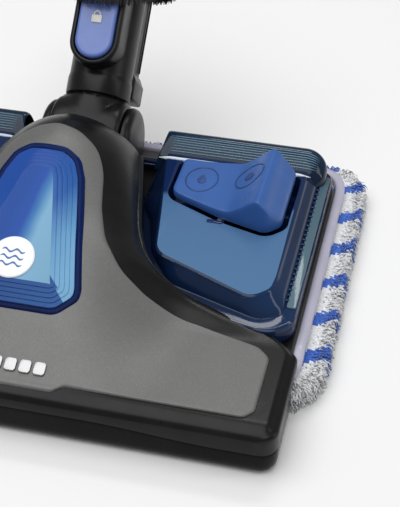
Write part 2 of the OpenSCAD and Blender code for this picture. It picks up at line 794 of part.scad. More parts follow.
module filler_cap() {
    color([0.15, 0.3, 0.65]) place() {
        difference() {
            union() {
                translate([filler_x, filler_y, 0]) rod(cap_disc_r, [cap_z, cap_z + cap_disc_t]);
                block([filler_x - 3, filler_x + 3], [filler_y + 8, hinge_y], [cap_z, cap_z + 3]);
                translate([filler_x - 3, hinge_y, hinge_z]) rotate([0, 90, 0]) cylinder(r = 2.2, h = 6);
                block([filler_x - 5, filler_x + 5], [filler_y - cap_disc_r - 2.5, filler_y - 5],
                    [cap_z + 1.2, cap_z + 3.2]);
            }
            translate([filler_x - 4, hinge_y, hinge_z]) rotate([0, 90, 0])
                cylinder(r = hinge_pin_r + run_gap, h = 8);
        }
        translate([filler_x, filler_y, 0]) rod(filler_r - 3, [cap_z - 3, cap_z]);
    }
}

module cap_seal() {
    color([0.05, 0.05, 0.05]) place() translate([filler_x, filler_y, 0])
        tube(filler_r - 1.6, filler_r - 3, [cap_z - 2.4, cap_z]);
}

module cap_hinge_pin() {
    color([0.7, 0.7, 0.72]) place() translate([filler_x - 6.5, hinge_y, hinge_z])
        rotate([0, 90, 0]) cylinder(r = hinge_pin_r, h = 13);
}

// ---- Mop ----

module mop_plate() {
    color([0.2, 0.2, 0.22]) place() difference() {
        translate([0, 0, plate_z]) linear_extrude(plate_t)
            round_rect([-rim_out + rim_w, rim_out - rim_w], [rim_front_y, rim_rear_y - rim_w], 20);
        for (x = felt_x) {
            translate([x, felt_y, plate_z - over]) cylinder(r = felt_r + part_gap, h = plate_t + 2 * over);
        }
        translate([valve_x, valve_y, plate_z - over])
            cylinder(r = plunger_r + 2, h = plate_t + 2 * over);
    }
}

module mop_rim() {
    front = nozzle_d + 3;
    color([0.75, 0.74, 0.82]) place() difference() {
        union() {
            translate([0, 0, plate_z]) linear_extrude(plate_t)
                round_rect([-rim_out, rim_out], [rim_front_y, rim_rear_y], 22);
            translate([0, 0, plate_z]) linear_extrude(rim_top - plate_z) intersection() {
                round_rect([-rim_out, rim_out], [rim_front_y, rim_rear_y], 22);
                translate([-rim_out - over, front]) square([2 * rim_out + 2, rim_rear_y]);
            }
        }
        translate([0, 0, plate_z - over]) linear_extrude(plate_t + over)
            round_rect([-rim_out + rim_w, rim_out - rim_w], [rim_front_y, rim_rear_y - rim_w], 20);
        translate([0, 0, plate_z + plate_t - 0.01]) linear_extrude(10)
            round_rect([-rim_out + rim_w, rim_out - rim_w], [rim_front_y - 20, rim_rear_y - rim_w], 20);
    }
}

module hook_strips() {
    color([0.12, 0.12, 0.13]) place() for (y = [70, 120, 170]) {
        block([-105, 105], [y, y + 18], [pad_t, plate_z]);
    }
}

module mop_pad() {
    color([0.85, 0.87, 0.92]) place() linear_extrude(pad_t)
        round_rect([-pad_half, pad_half], [pad_front_y, pad_rear_y], pad_corner);
}

// ---- Neck ----

module pitch_barrel() {
    color([0.07, 0.07, 0.08]) neck_frame() difference() {
        union() {
            rotate([0, 90, 0]) cylinder(r = barrel_r, h = 2 * ear_in - 0.8, center = true);
            rotate([0, 90, 0]) cylinder(r = trunnion_r, h = 2 * (ear_in + ear_t) - 0.4, center = true);
            rod(stem_r + 0.8, [0, collar_s - 0.4]);
            rod(stem_r, [0, stem_end]);
        }
        rod(duct_r, [-barrel_r - over, stem_end + over]);
    }
}

module barrel_seals() {
    color([0.03, 0.03, 0.03]) place() mirror_x()
        translate([ear_in - 0.4 + 0.05, pivot[1], pivot[2]]) rotate([0, 90, 0]) difference() {
            cylinder(r = 14, h = 0.3);
            translate([0, 0, -over]) cylinder(r = trunnion_r + 0.2, h = 3);
        }
}

module neck_tube() {
    color([0.09, 0.09, 0.10]) neck_frame() difference() {
        union() {
            rod(tube_r, [collar_s, neck_end]);
            rod(tube_r + 0.9, [collar_s, collar_s + 11]);
        }
        rod(stem_r + run_gap, [collar_s - over, stem_end + part_gap]);
        rod(spigot_r - 0.7, [stem_end, spigot_start]);
        rod(spigot_r + run_gap, [spigot_start - part_gap, neck_end + over]);
        latch_window();
    }
}

// Window under the lock button for its latch
latch_half = 3;
latch_s = [65, 71];
module latch_window() {
    block([-latch_half - slide_gap, latch_half + slide_gap], [-floor_p - over, -duct_r + over],
        [latch_s[0] - slide_gap, latch_s[1] + slide_gap]);
}

module neck_spine() {
    color([0.08, 0.08, 0.09]) neck_frame() difference() {
        union() {
            block([-spine_half, spine_half], [6, spine_p - 1.5], [block_end - over, neck_end]);
            side_profile([[4, block_start], [block_p, block_start], [block_p, block_end - 6],
                [block_p - 3, block_end], [4, block_end]], [-block_half, block_half]);
        }
        rod(tube_r + 0.92, [0, collar_s + 11.02]);
        rod(tube_r + 0.02, [collar_s, neck_end + over]);
    }
}

module u_shape(half, centre, end) {
    translate([0, centre]) circle(half);
    translate([-half, centre]) square([2 * half, end - centre]);
}

// Lays a flat U shape on the front of the tube, its thickness towards the front
module on_front(p) {
    rotate([90, 0, 0]) translate([0, 0, p]) children();
}

module lock_housing() {
    color([0.10, 0.10, 0.11]) neck_frame() difference() {
        on_front(6) linear_extrude(boss_p - 6) u_shape(boss_half, boss_centre_s, boss_end);
        rod(tube_r + 0.02, [collar_s, neck_end + over]);
        on_front(floor_p) linear_extrude(10)
            u_shape(button_half + button_gap, boss_centre_s, button_end + button_gap);
        latch_window();
    }
}

module lock_button() {
    color([0.3, 0.45, 0.8]) neck_frame()
        on_front(floor_p + button_travel + 0.3) linear_extrude(button_p - floor_p - button_travel - 0.3)
        u_shape(button_half, boss_centre_s, button_end);
}

module lock_icon() {
    s = 57;
    color([0.85, 0.87, 0.9]) neck_frame() on_front(button_p) linear_extrude(0.3) {
        translate([-2.4, s - 2]) square([4.8, 3.8]);
        translate([0, s + 1.8]) intersection() {
            difference() {
                circle(1.9);
                circle(1.1);
            }
            translate([-3, 0]) square([6, 3]);
        }
    }
}

module lock_spring() {
    color([0.75, 0.75, 0.78]) neck_frame() on_front(floor_p + 0.05) translate([0, boss_centre_s])
        linear_extrude(button_travel + 0.2) difference() {
            circle(2.6);
            circle(1.9);
        }
}

module lock_latch() {
    color([0.8, 0.8, 0.82]) neck_frame()
        block([-latch_half, latch_half], [-floor_p - button_travel - 0.3, -duct_r - 0.8], latch_s);
}

module wand_tube() {
    color([0.12, 0.12, 0.13]) neck_frame() tube(tube_r, socket_r, [neck_end + shoulder_t, wand_end]);
}

module wand_spigot() {
    color([0.15, 0.15, 0.16]) neck_frame() difference() {
        union() {
            rod(spigot_r, [spigot_start, neck_end + shoulder_t]);
            rod(tube_r, [neck_end, neck_end + shoulder_t]);
        }
        rod(duct_r, [spigot_start - over, neck_end + shoulder_t + over]);
        // Guide slot for the latch, open at the lower end
        block([-latch_half - slide_gap, latch_half + slide_gap], [-tube_r, -duct_r + over],
            [spigot_start - over, latch_s[1] + slide_gap]);
    }
}

module brush_ring() {
    color([0.06, 0.06, 0.07]) neck_frame() {
        tube(ring_out, ring_in, [ring_start, ring_end]);
        tube(ring_in + 0.5, tube_r + run_gap, [ring_end - 3, ring_end]);
        tube(tube_r + 3, tube_r + run_gap, [ring_end - 3, ring_end + 6]);
    }
}

module brush_bristles() {
    color([0.04, 0.04, 0.04]) neck_frame() tube(ring_out - 0.8, ring_in + 0.8, [bristle_start, ring_start]);
}

lower_housing();
front_bumper();
main_housing();
top_cover();
window_backing();
window_lens();
emblem_badge();
badge_strip();
suction_duct();
mouth_lip();
lint_strips();
neck_yoke();
pivot_caps();
roller_left();
roller_right();
roller_axles();
housing_screws();
water_felts();
tank_lower();
tank_upper();
tank_ridge_trim();
filler_neck();
valve_seal();
valve_spring();
rocker_pin();
flow_rocker();
rocker_icons();
valve_plunger();
filler_cap();
cap_seal();
cap_hinge_pin();
mop_plate();
mop_rim();
hook_strips();
mop_pad();
pitch_barrel();
barrel_seals();
neck_tube();
neck_spine();
lock_housing();
lock_button();
lock_icon();
lock_spring();
lock_latch();
wand_tube();
wand_spigot();
brush_ring();
brush_bristles();
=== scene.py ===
import math
import random

import bmesh
import bpy
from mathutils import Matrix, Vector


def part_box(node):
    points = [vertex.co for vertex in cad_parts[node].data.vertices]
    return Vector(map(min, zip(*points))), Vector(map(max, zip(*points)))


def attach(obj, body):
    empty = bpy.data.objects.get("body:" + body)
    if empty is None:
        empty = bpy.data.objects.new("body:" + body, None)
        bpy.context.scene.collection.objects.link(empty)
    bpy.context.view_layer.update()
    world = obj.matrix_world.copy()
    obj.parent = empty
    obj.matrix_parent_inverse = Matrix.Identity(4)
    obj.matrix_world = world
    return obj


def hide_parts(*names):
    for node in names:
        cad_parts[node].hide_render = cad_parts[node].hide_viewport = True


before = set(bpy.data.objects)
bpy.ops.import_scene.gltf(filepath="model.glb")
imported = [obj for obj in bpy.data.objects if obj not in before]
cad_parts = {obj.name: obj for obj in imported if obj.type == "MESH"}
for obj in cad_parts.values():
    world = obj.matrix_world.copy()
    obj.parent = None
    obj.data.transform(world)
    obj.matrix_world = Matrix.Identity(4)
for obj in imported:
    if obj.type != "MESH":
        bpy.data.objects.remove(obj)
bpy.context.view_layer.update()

bl_info = {
    "name": "Wet and dry floor head",
    "version": (1, 0, 0),
    "blender": (4, 5, 0),
    "location": "3D View > Sidebar > Floor Head",
    "description": "Builds the visible pieces of a mop and suction floor head around its frame",
    "category": "Object",
}

MM = 0.001
FRONT_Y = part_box("front_bumper")[0].y
HALF_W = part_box("main_housing")[1].x / MM
NOZZLE_D = 58
DECK_Y, DECK_Z = 8, 25
DECK_SLOPE = math.radians(24.3)
DECK_RISE = math.tan(DECK_SLOPE)
CROWN_Y, CROWN_R = 112, 45
CROWN_CY = CROWN_Y + CROWN_R * math.sin(DECK_SLOPE)
CROWN_CZ = DECK_Z + (CROWN_Y - DECK_Y) * DECK_RISE - CROWN_R * math.cos(DECK_SLOPE)
DOME_REAR = 158
PARTING_Z = 12.5
TRAY_TOP = 17
FLANGE_Z, TANK_TOP = 27, 36
TANK_HALF, TANK_REAR = 130, 195
PIVOT = Vector((0, 179, 40))
LEAN = math.radians(45.5)


def at(x, y, z):
    """A point given in millimetres from the floor line under the nozzle's front face."""
    return Vector((x * MM, y * MM + FRONT_Y, z * MM))


def neck_at(x, y, s):
    """A point on the neck: x across, y to the rear of the tube, s up it from the pivot."""
    return at(
        PIVOT.x + x,
        PIVOT.y + y * math.cos(LEAN) + s * math.sin(LEAN),
        PIVOT.z - y * math.sin(LEAN) + s * math.cos(LEAN),
    )


def ease(a, b, v):
    t = max(0.0, min(1.0, (v - a) / (b - a)))
    return t * t * (3 - 2 * t)


def smooth_table(table):
    """A smooth curve through a table of pairs, without overshoot."""
    xs = [p[0] for p in table]
    ys = [p[1] for p in table]
    step = [(ys[i + 1] - ys[i]) / (xs[i + 1] - xs[i]) for i in range(len(xs) - 1)]
    slope = [step[0]] + [
        0 if a * b <= 0 else 2 * a * b / (a + b) for a, b in zip(step, step[1:])
    ] + [step[-1]]

    def value(v):
        if v <= xs[0]:
            return ys[0]
        if v >= xs[-1]:
            return ys[-1]
        i = max(k for k in range(len(xs) - 1) if xs[k] <= v)
        h = xs[i + 1] - xs[i]
        t = (v - xs[i]) / h
        return (
            ys[i] * (1 + 2 * t) * (1 - t) ** 2
            + slope[i] * h * t * (1 - t) ** 2
            + ys[i + 1] * t * t * (3 - 2 * t)
            + slope[i + 1] * h * t * t * (t - 1)
        )

    return value


CORNER_R = 8
plan_side = smooth_table([
    (CORNER_R, HALF_W), (NOZZLE_D - 6, HALF_W), (NOZZLE_D, HALF_W - 4.4), (63, 121), (69, 102.5),
    (75, 84.5), (80, 68), (88, 57.5), (103, 49.5), (118, 45.2), (132, 42), (DOME_REAR, 35),
])


def plan_half(y):
    """Half width of the housing seen from above."""
    if y < CORNER_R:
        d = CORNER_R - max(0, y)
        return HALF_W - CORNER_R + math.sqrt(max(0, CORNER_R**2 - d * d))
    return plan_side(y)


edge_z = smooth_table([
    (0, 20.3), (1.2, 22.3), (3, 23.6), (DECK_Y, DECK_Z), (NOZZLE_D, 25), (75, 26), (80, 29), (88, 33),
    (103, 36), (132, 38), (DOME_REAR, 41),
])


def crown_z(y):
    if y < DECK_Y:
        return edge_z(y)
    if y < CROWN_Y:
        return DECK_Z + (y - DECK_Y) * DECK_RISE
    return CROWN_CZ + math.sqrt(max(0, CROWN_R**2 - (y - CROWN_CY) ** 2))


def skin_z(x, y):
    """Height of the housing's skin."""
    half = plan_half(y)
    front = 1 - ease(26, 84, abs(x))
    u = min(1, abs(x) / half)
    dome = (1 - u**1.7) ** 0.62
    w = ease(NOZZLE_D - 4, NOZZLE_D + 38, y)
    base = edge_z(y)
    drop = 3 * ease(half - 6, half, abs(x)) * (1 - ease(NOZZLE_D, NOZZLE_D + 8, y)) * ease(0, 8, y)
    return base + (crown_z(y) - base) * (front * (1 - w) + dome * w) - drop


def deselect():
    if bpy.context.object and bpy.context.object.mode != "OBJECT":
        bpy.ops.object.mode_set(mode="OBJECT")
    bpy.ops.object.select_all(action="DESELECT")


def adopt(name):
    """Names the primitive just added, and returns it."""
    piece = bpy.context.object
    piece.name = name
    piece.data.name = name
    return piece


def recalc(piece):
    """Merges doubles and turns every face outwards."""
    deselect()
    bpy.context.view_layer.objects.active = piece
    piece.select_set(True)
    bpy.ops.object.mode_set(mode="EDIT")
    bpy.ops.mesh.select_all(action="SELECT")
    bpy.ops.mesh.remove_doubles(threshold=1e-6)
    bpy.ops.mesh.normals_make_consistent(inside=False)
    bpy.ops.object.mode_set(mode="OBJECT")
    return piece


def apply_modifier(piece, kind, **settings):
    deselect()
    bpy.context.view_layer.objects.active = piece
    piece.select_set(True)
    mod = piece.modifiers.new(kind.lower(), kind)
    for key, value in settings.items():
        setattr(mod, key, value)
    bpy.ops.object.modifier_apply(modifier=mod.name)
    return piece


def smooth(piece, angle=35):
    deselect()
    bpy.context.view_layer.objects.active = piece
    piece.select_set(True)
    bpy.ops.object.shade_smooth_by_angle(angle=math.radians(angle))
    return piece


def lofted(name, rows, columns, place, caps=(), closed=False):
    """A grid primitive moved to place(row, column), with its end rows closed by a face if asked."""
    deselect()
    bpy.ops.mesh.primitive_grid_add(x_subdivisions=columns - 1, y_subdivisions=rows - 1, size=1)
    piece = adopt(name)
    for j in range(rows):
        for i in range(columns):
            piece.data.vertices[j * columns + i].co = place(j, i)
    if caps:
        mesh = bmesh.new()
        mesh.from_mesh(piece.data)
        mesh.verts.ensure_lookup_table()
        last = columns - 1 if closed else columns
        for row in caps:
            mesh.faces.new([mesh.verts[row * columns + i] for i in range(last)])
        mesh.to_mesh(piece.data)
        mesh.free()
    return recalc(piece)


def rings(name, outlines, caps=(0, -1)):
    """Closed outlines with the same number of points, joined one to the next."""
    n = len(outlines[0])
    which = [c % len(outlines) for c in caps]
    return lofted(name, len(outlines), n + 1, lambda j, i: outlines[j][i % n], which, True)


def arc_points(a, b, c, r, steps):
    """Points of the round that softens corner b between a and c."""
    to_a, to_c = (a - b), (c - b)
    la, lc = to_a.length, to_c.length
    to_a, to_c = to_a / la, to_c / lc
    cosine = max(-0.9999, min(0.9999, to_a.dot(to_c)))
    half = math.acos(cosine) / 2
    reach = min(r / math.tan(half), la * 0.48, lc * 0.48)
    p, q = b + to_a * reach, b + to_c * reach
    return [
        p * (1 - t) ** 2 + b * (2 * t * (1 - t)) + q * t * t
        for t in (k / steps for k in range(steps + 1))
    ]


def rounded(points, radius, steps=8):
    """A flat polygon with softened corners; radius is one number or one for each corner."""
    pts = [Vector(p) for p in points]
    n = len(pts)
    radii = radius if isinstance(radius, (list, tuple)) else [radius] * n
    out = []
    for i in range(n):
        out += arc_points(pts[i - 1], pts[i], pts[(i + 1) % n], radii[i], steps)
    return out


def inset_outline(points, d):
    """A convex flat polygon drawn in by d."""
    pts = [Vector(p) for p in points]
    n = len(pts)
    area = sum(pts[i - 1].x * pts[i].y - pts[i].x * pts[i - 1].y for i in range(n))
    turn = 1 if area > 0 else -1
    lines = []
    for i in range(n):
        a, b = pts[i], pts[(i + 1) % n]
        t = (b - a).normalized()
        normal = Vector((-t.y, t.x)) * turn
        lines.append((a + normal * d, t))
    out = []
    for i in range(n):
        (p, t), (q, s) = lines[i - 1], lines[i]
        cross = t.x * s.y - t.y * s.x
        if abs(cross) < 1e-6:
            out.append(q.copy())
            continue
        k = ((q.x - p.x) * s.y - (q.y - p.y) * s.x) / cross
        out.append(p + t * k)
    return out


def ray_outline(points, centre, count):
    """The outline's points where rays from the centre meet it, evenly turned."""
    pts = [Vector(p) for p in points]
    c = Vector(centre)
    out = []
    for k in range(count):
        a = 2 * math.pi * k / count
        d = Vector((math.cos(a), math.sin(a)))
        best = 0
        for i in range(len(pts)):
            p, q = pts[i - 1], pts[i]
            e = q - p
            den = d.x * e.y - d.y * e.x
            if abs(den) < 1e-9:
                continue
            w = p - c
            t = (w.x * e.y - w.y * e.x) / den
            u = (w.x * d.y - w.y * d.x) / den
            if t > 0 and -1e-6 <= u <= 1 + 1e-6:
                best = max(best, t)
        out.append(c + d * best)
    return out


def even_outline(points, count):
    """The outline's points at even steps along it, from its first point."""
    pts = [Vector(p) for p in points]
    pts.append(pts[0])
    run = [0]
    for a, b in zip(pts, pts[1:]):
        run.append(run[-1] + (b - a).length)
    out = []
    i = 0
    for k in range(count):
        d = run[-1] * k / count
        while run[i + 1] < d:
            i += 1
        t = (d - run[i]) / max(1e-9, run[i + 1] - run[i])
        out.append(pts[i].lerp(pts[i + 1], t))
    return out


def lathe(name, profile, place, segments=64, closed=True):
    """A profile of (radius, height) pairs turned about an axis; place(x, y, height) sets it."""
    pts = profile + [profile[0]] if closed else profile

    def put(j, i):
        a = 2 * math.pi * i / segments
        r, h = pts[j]
        return place(r * math.cos(a), r * math.sin(a), h)

    return lofted(name, len(pts), segments + 1, put)


def bar(name, low, high, place, bevel, segments=3):
    """A box between two corners with its edges rounded."""
    deselect()
    bpy.ops.mesh.primitive_cube_add(size=1)
    piece = adopt(name)
    for v in piece.data.vertices:
        v.co = place(*[high[k] if v.co[k] > 0 else low[k] for k in range(3)])
    recalc(piece)
    if bevel:
        apply_modifier(piece, "BEVEL", width=bevel * MM, segments=segments, limit_method="NONE")
    return smooth(piece)


def prism(name, outline, z0, z1, place, bevel=0, segments=3):
    """A flat outline filled, extruded and given round edges."""
    deselect()
    bpy.ops.mesh.primitive_circle_add(vertices=len(outline), radius=1, fill_type="NGON")
    piece = adopt(name)
    for v, p in zip(piece.data.vertices, outline):
        v.co = place(p[0], p[1], z0)
    lift = place(0, 0, z1) - place(0, 0, z0)
    bpy.ops.object.mode_set(mode="EDIT")
    bpy.ops.mesh.select_all(action="SELECT")
    bpy.ops.mesh.extrude_region_move(TRANSFORM_OT_translate={"value": lift})
    bpy.ops.object.mode_set(mode="OBJECT")
    recalc(piece)
    if bevel:
        apply_modifier(piece, "BEVEL", width=bevel * MM, segments=segments, limit_method="ANGLE",
                       angle_limit=math.radians(40))
    return smooth(piece)


def joined(name, pieces):
    deselect()
    for piece in pieces:
        piece.select_set(True)
    bpy.context.view_layer.objects.active = pieces[0]
    bpy.ops.object.join()
    return adopt(name)


def mirrored(piece, name):
    """A copy of the piece on the other side."""
    twin = piece.copy()
    twin.data = piece.data.copy()
    twin.name = name
    bpy.context.scene.collection.objects.link(twin)
    for v in twin.data.vertices:
        v.co.x = -v.co.x
    return recalc(twin)


def finish_piece(piece, body, finish, replaced=()):
    """Gives a piece its finish, its body and the frame nodes that it stands for."""
    which = [p.material_index for p in piece.data.polygons]
    piece.data.materials.clear()
    for m in finish if isinstance(finish, (list, tuple)) else [finish]:
        piece.data.materials.append(m)
    if isinstance(finish, (list, tuple)):
        piece.data.polygons.foreach_set("material_index", which)
    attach(piece, body)
    if replaced:
        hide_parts(*replaced)
    return piece


# ---- Finishes ----

def finish(name, base, roughness, metallic=0.0, coat=0.0, coat_rough=0.1, sheen=0.0,
           ior=1.5, specular=0.5):
    """A material with its constant values set on the shader itself."""
    m = bpy.data.materials.new(name)
    m.use_nodes = True
    shader = m.node_tree.nodes["Principled BSDF"]
    values = {
        "Base Color": (*base, 1), "Roughness": roughness, "Metallic": metallic, "Coat Weight": coat,
        "Coat Roughness": coat_rough, "Sheen Weight": sheen,
        "IOR": ior, "Specular IOR Level": specular,
    }
    for key, value in values.items():
        shader.inputs[key].default_value = value
    return m


def nodes_of(m):
    return m.node_tree.nodes, m.node_tree.links, m.node_tree.nodes["Principled BSDF"]


def place_pattern(m, scale=(1, 1, 1), turn=(0, 0, 0)):
    """Object coordinates through a mapping."""
    nodes, links, _ = nodes_of(m)
    coords = nodes.new("ShaderNodeTexCoord")
    mapping = nodes.new("ShaderNodeMapping")
    mapping.inputs["Scale"].default_value = scale
    mapping.inputs["Rotation"].default_value = turn
    links.new(coords.outputs["Object"], mapping.inputs["Vector"])
    return mapping.outputs["Vector"]


def noise(m, vector, scale, detail=3.0, rough=0.6):
    nodes, links, _ = nodes_of(m)
    n = nodes.new("ShaderNodeTexNoise")
    n.inputs["Scale"].default_value = scale
    n.inputs["Detail"].default_value = detail
    n.inputs["Roughness"].default_value = rough
    links.new(vector, n.inputs["Vector"])
    return n.outputs["Fac"]


def ramp(m, value, stops):
    """A colour ramp; stops are (place, colour)."""
    nodes, links, _ = nodes_of(m)
    r = nodes.new("ShaderNodeValToRGB")
    band = r.color_ramp
    while len(band.elements) < len(stops):
        band.elements.new(0.5)
    for e, (place, colour) in zip(band.elements, stops):
        e.position = place
        e.color = (*colour, 1)
    links.new(value, r.inputs["Fac"])
    return r.outputs["Color"]


def grey_stops(low, high, start=0.3, end=0.7):
    return [(start, (low, low, low)), (end, (high, high, high))]


def bumped(m, height, strength, distance):
    nodes, links, shader = nodes_of(m)
    b = nodes.new("ShaderNodeBump")
    b.inputs["Strength"].default_value = strength
    b.inputs["Distance"].default_value = distance
    links.new(height, b.inputs["Height"])
    links.new(b.outputs["Normal"], shader.inputs["Normal"])


def moulded(name, base, roughness, grain=2200, depth=0.00004, vary=0.25, **more):
    """Moulded plastic: a fine spark-eroded grain, slight cloudiness and uneven gloss."""
    m = finish(name, base, roughness, **more)
    _, links, shader = nodes_of(m)
    v = place_pattern(m)
    cloud = noise(m, v, 45, 4)
    light = tuple(min(1, c * (1 + vary) + 0.002) for c in base)
    dark = tuple(c * (1 - vary) for c in base)
    links.new(ramp(m, cloud, [(0.3, dark), (0.7, light)]), shader.inputs["Base Color"])
    links.new(ramp(m, noise(m, v, 120, 5), grey_stops(roughness * 0.85, min(1, roughness * 1.2))),
              shader.inputs["Roughness"])
    bumped(m, noise(m, v, grain, 2), 0.35, depth)
    return m


def flake_paint(name, base, flake):
    """Metallic lacquer: tiny bright flakes under a satin coat."""
    m = finish(name, base, 0.46, metallic=0.3, specular=0.3)
    nodes, links, shader = nodes_of(m)
    v = place_pattern(m)
    cell = nodes.new("ShaderNodeTexVoronoi")
    cell.inputs["Scale"].default_value = 3500
    links.new(v, cell.inputs["Vector"])
    dark = tuple(c * 0.88 for c in base)
    links.new(ramp(m, cell.outputs["Color"], [(0.15, dark), (0.75, base), (0.97, flake)]),
              shader.inputs["Base Color"])
    links.new(ramp(m, noise(m, v, 90, 4), grey_stops(0.43, 0.49)), shader.inputs["Roughness"])
    bumped(m, noise(m, v, 2600, 2), 0.06, 0.00002)
    return m


def brushed(name, base, roughness=0.28):
    m = finish(name, base, roughness, metallic=1.0)
    _, links, shader = nodes_of(m)
    v = place_pattern(m, (1, 25, 25))
    links.new(ramp(m, noise(m, v, 400, 3), grey_stops(roughness * 0.7, roughness * 1.4)),
              shader.inputs["Roughness"])
    bumped(m, noise(m, v, 700, 2), 0.15, 0.00003)
    return m


def tinted(name, stops, direction, low, high, roughness=0.08, streak=0.35, coat=0.8,
           specular=0.25):
    """Tinted plastic, left opaque: colour runs along a direction, with soft flow streaks in it."""
    m = finish(name, stops[-1][1], roughness, ior=1.46, coat=coat,
               coat_rough=0.05, specular=specular)
    nodes, links, shader = nodes_of(m)
    coords = nodes.new("ShaderNodeTexCoord")
    dot = nodes.new("ShaderNodeVectorMath")
    dot.operation = "DOT_PRODUCT"
    dot.inputs[1].default_value = direction
    links.new(coords.outputs["Object"], dot.inputs[0])
    wobble = noise(m, coords.outputs["Object"], 22, 3)
    spread = nodes.new("ShaderNodeMath")
    spread.operation = "MULTIPLY_ADD"
    links.new(wobble, spread.inputs[0])
    spread.inputs[1].default_value = streak * (high - low)
    links.new(dot.outputs["Value"], spread.inputs[2])
    scale = nodes.new("ShaderNodeMapRange")
    scale.inputs["From Min"].default_value = low + 0.5 * streak * (high - low)
    scale.inputs["From Max"].default_value = high + 0.5 * streak * (high - low)
    links.new(spread.outputs["Value"], scale.inputs["Value"])
    links.new(ramp(m, scale.outputs["Result"], stops), shader.inputs["Base Color"])
    links.new(ramp(m, noise(m, coords.outputs["Object"], 60, 4),
                   grey_stops(roughness * 0.6, roughness * 1.5)),
              shader.inputs["Roughness"])
    bumped(m, noise(m, coords.outputs["Object"], 14, 2), 0.25, 0.0004)
    return m


def yarn(name, base, shade):
    """Twisted microfibre: shaded along each strand, with fine fibres."""
    m = finish(name, base, 0.85, sheen=0.5)
    _, links, shader = nodes_of(m)
    v = place_pattern(m)
    links.new(ramp(m, noise(m, v, 900, 4), [(0.3, shade), (0.62, base)]), shader.inputs["Base Color"])
    bumped(m, noise(m, v, 5200, 3), 0.5, 0.0002)
    return m


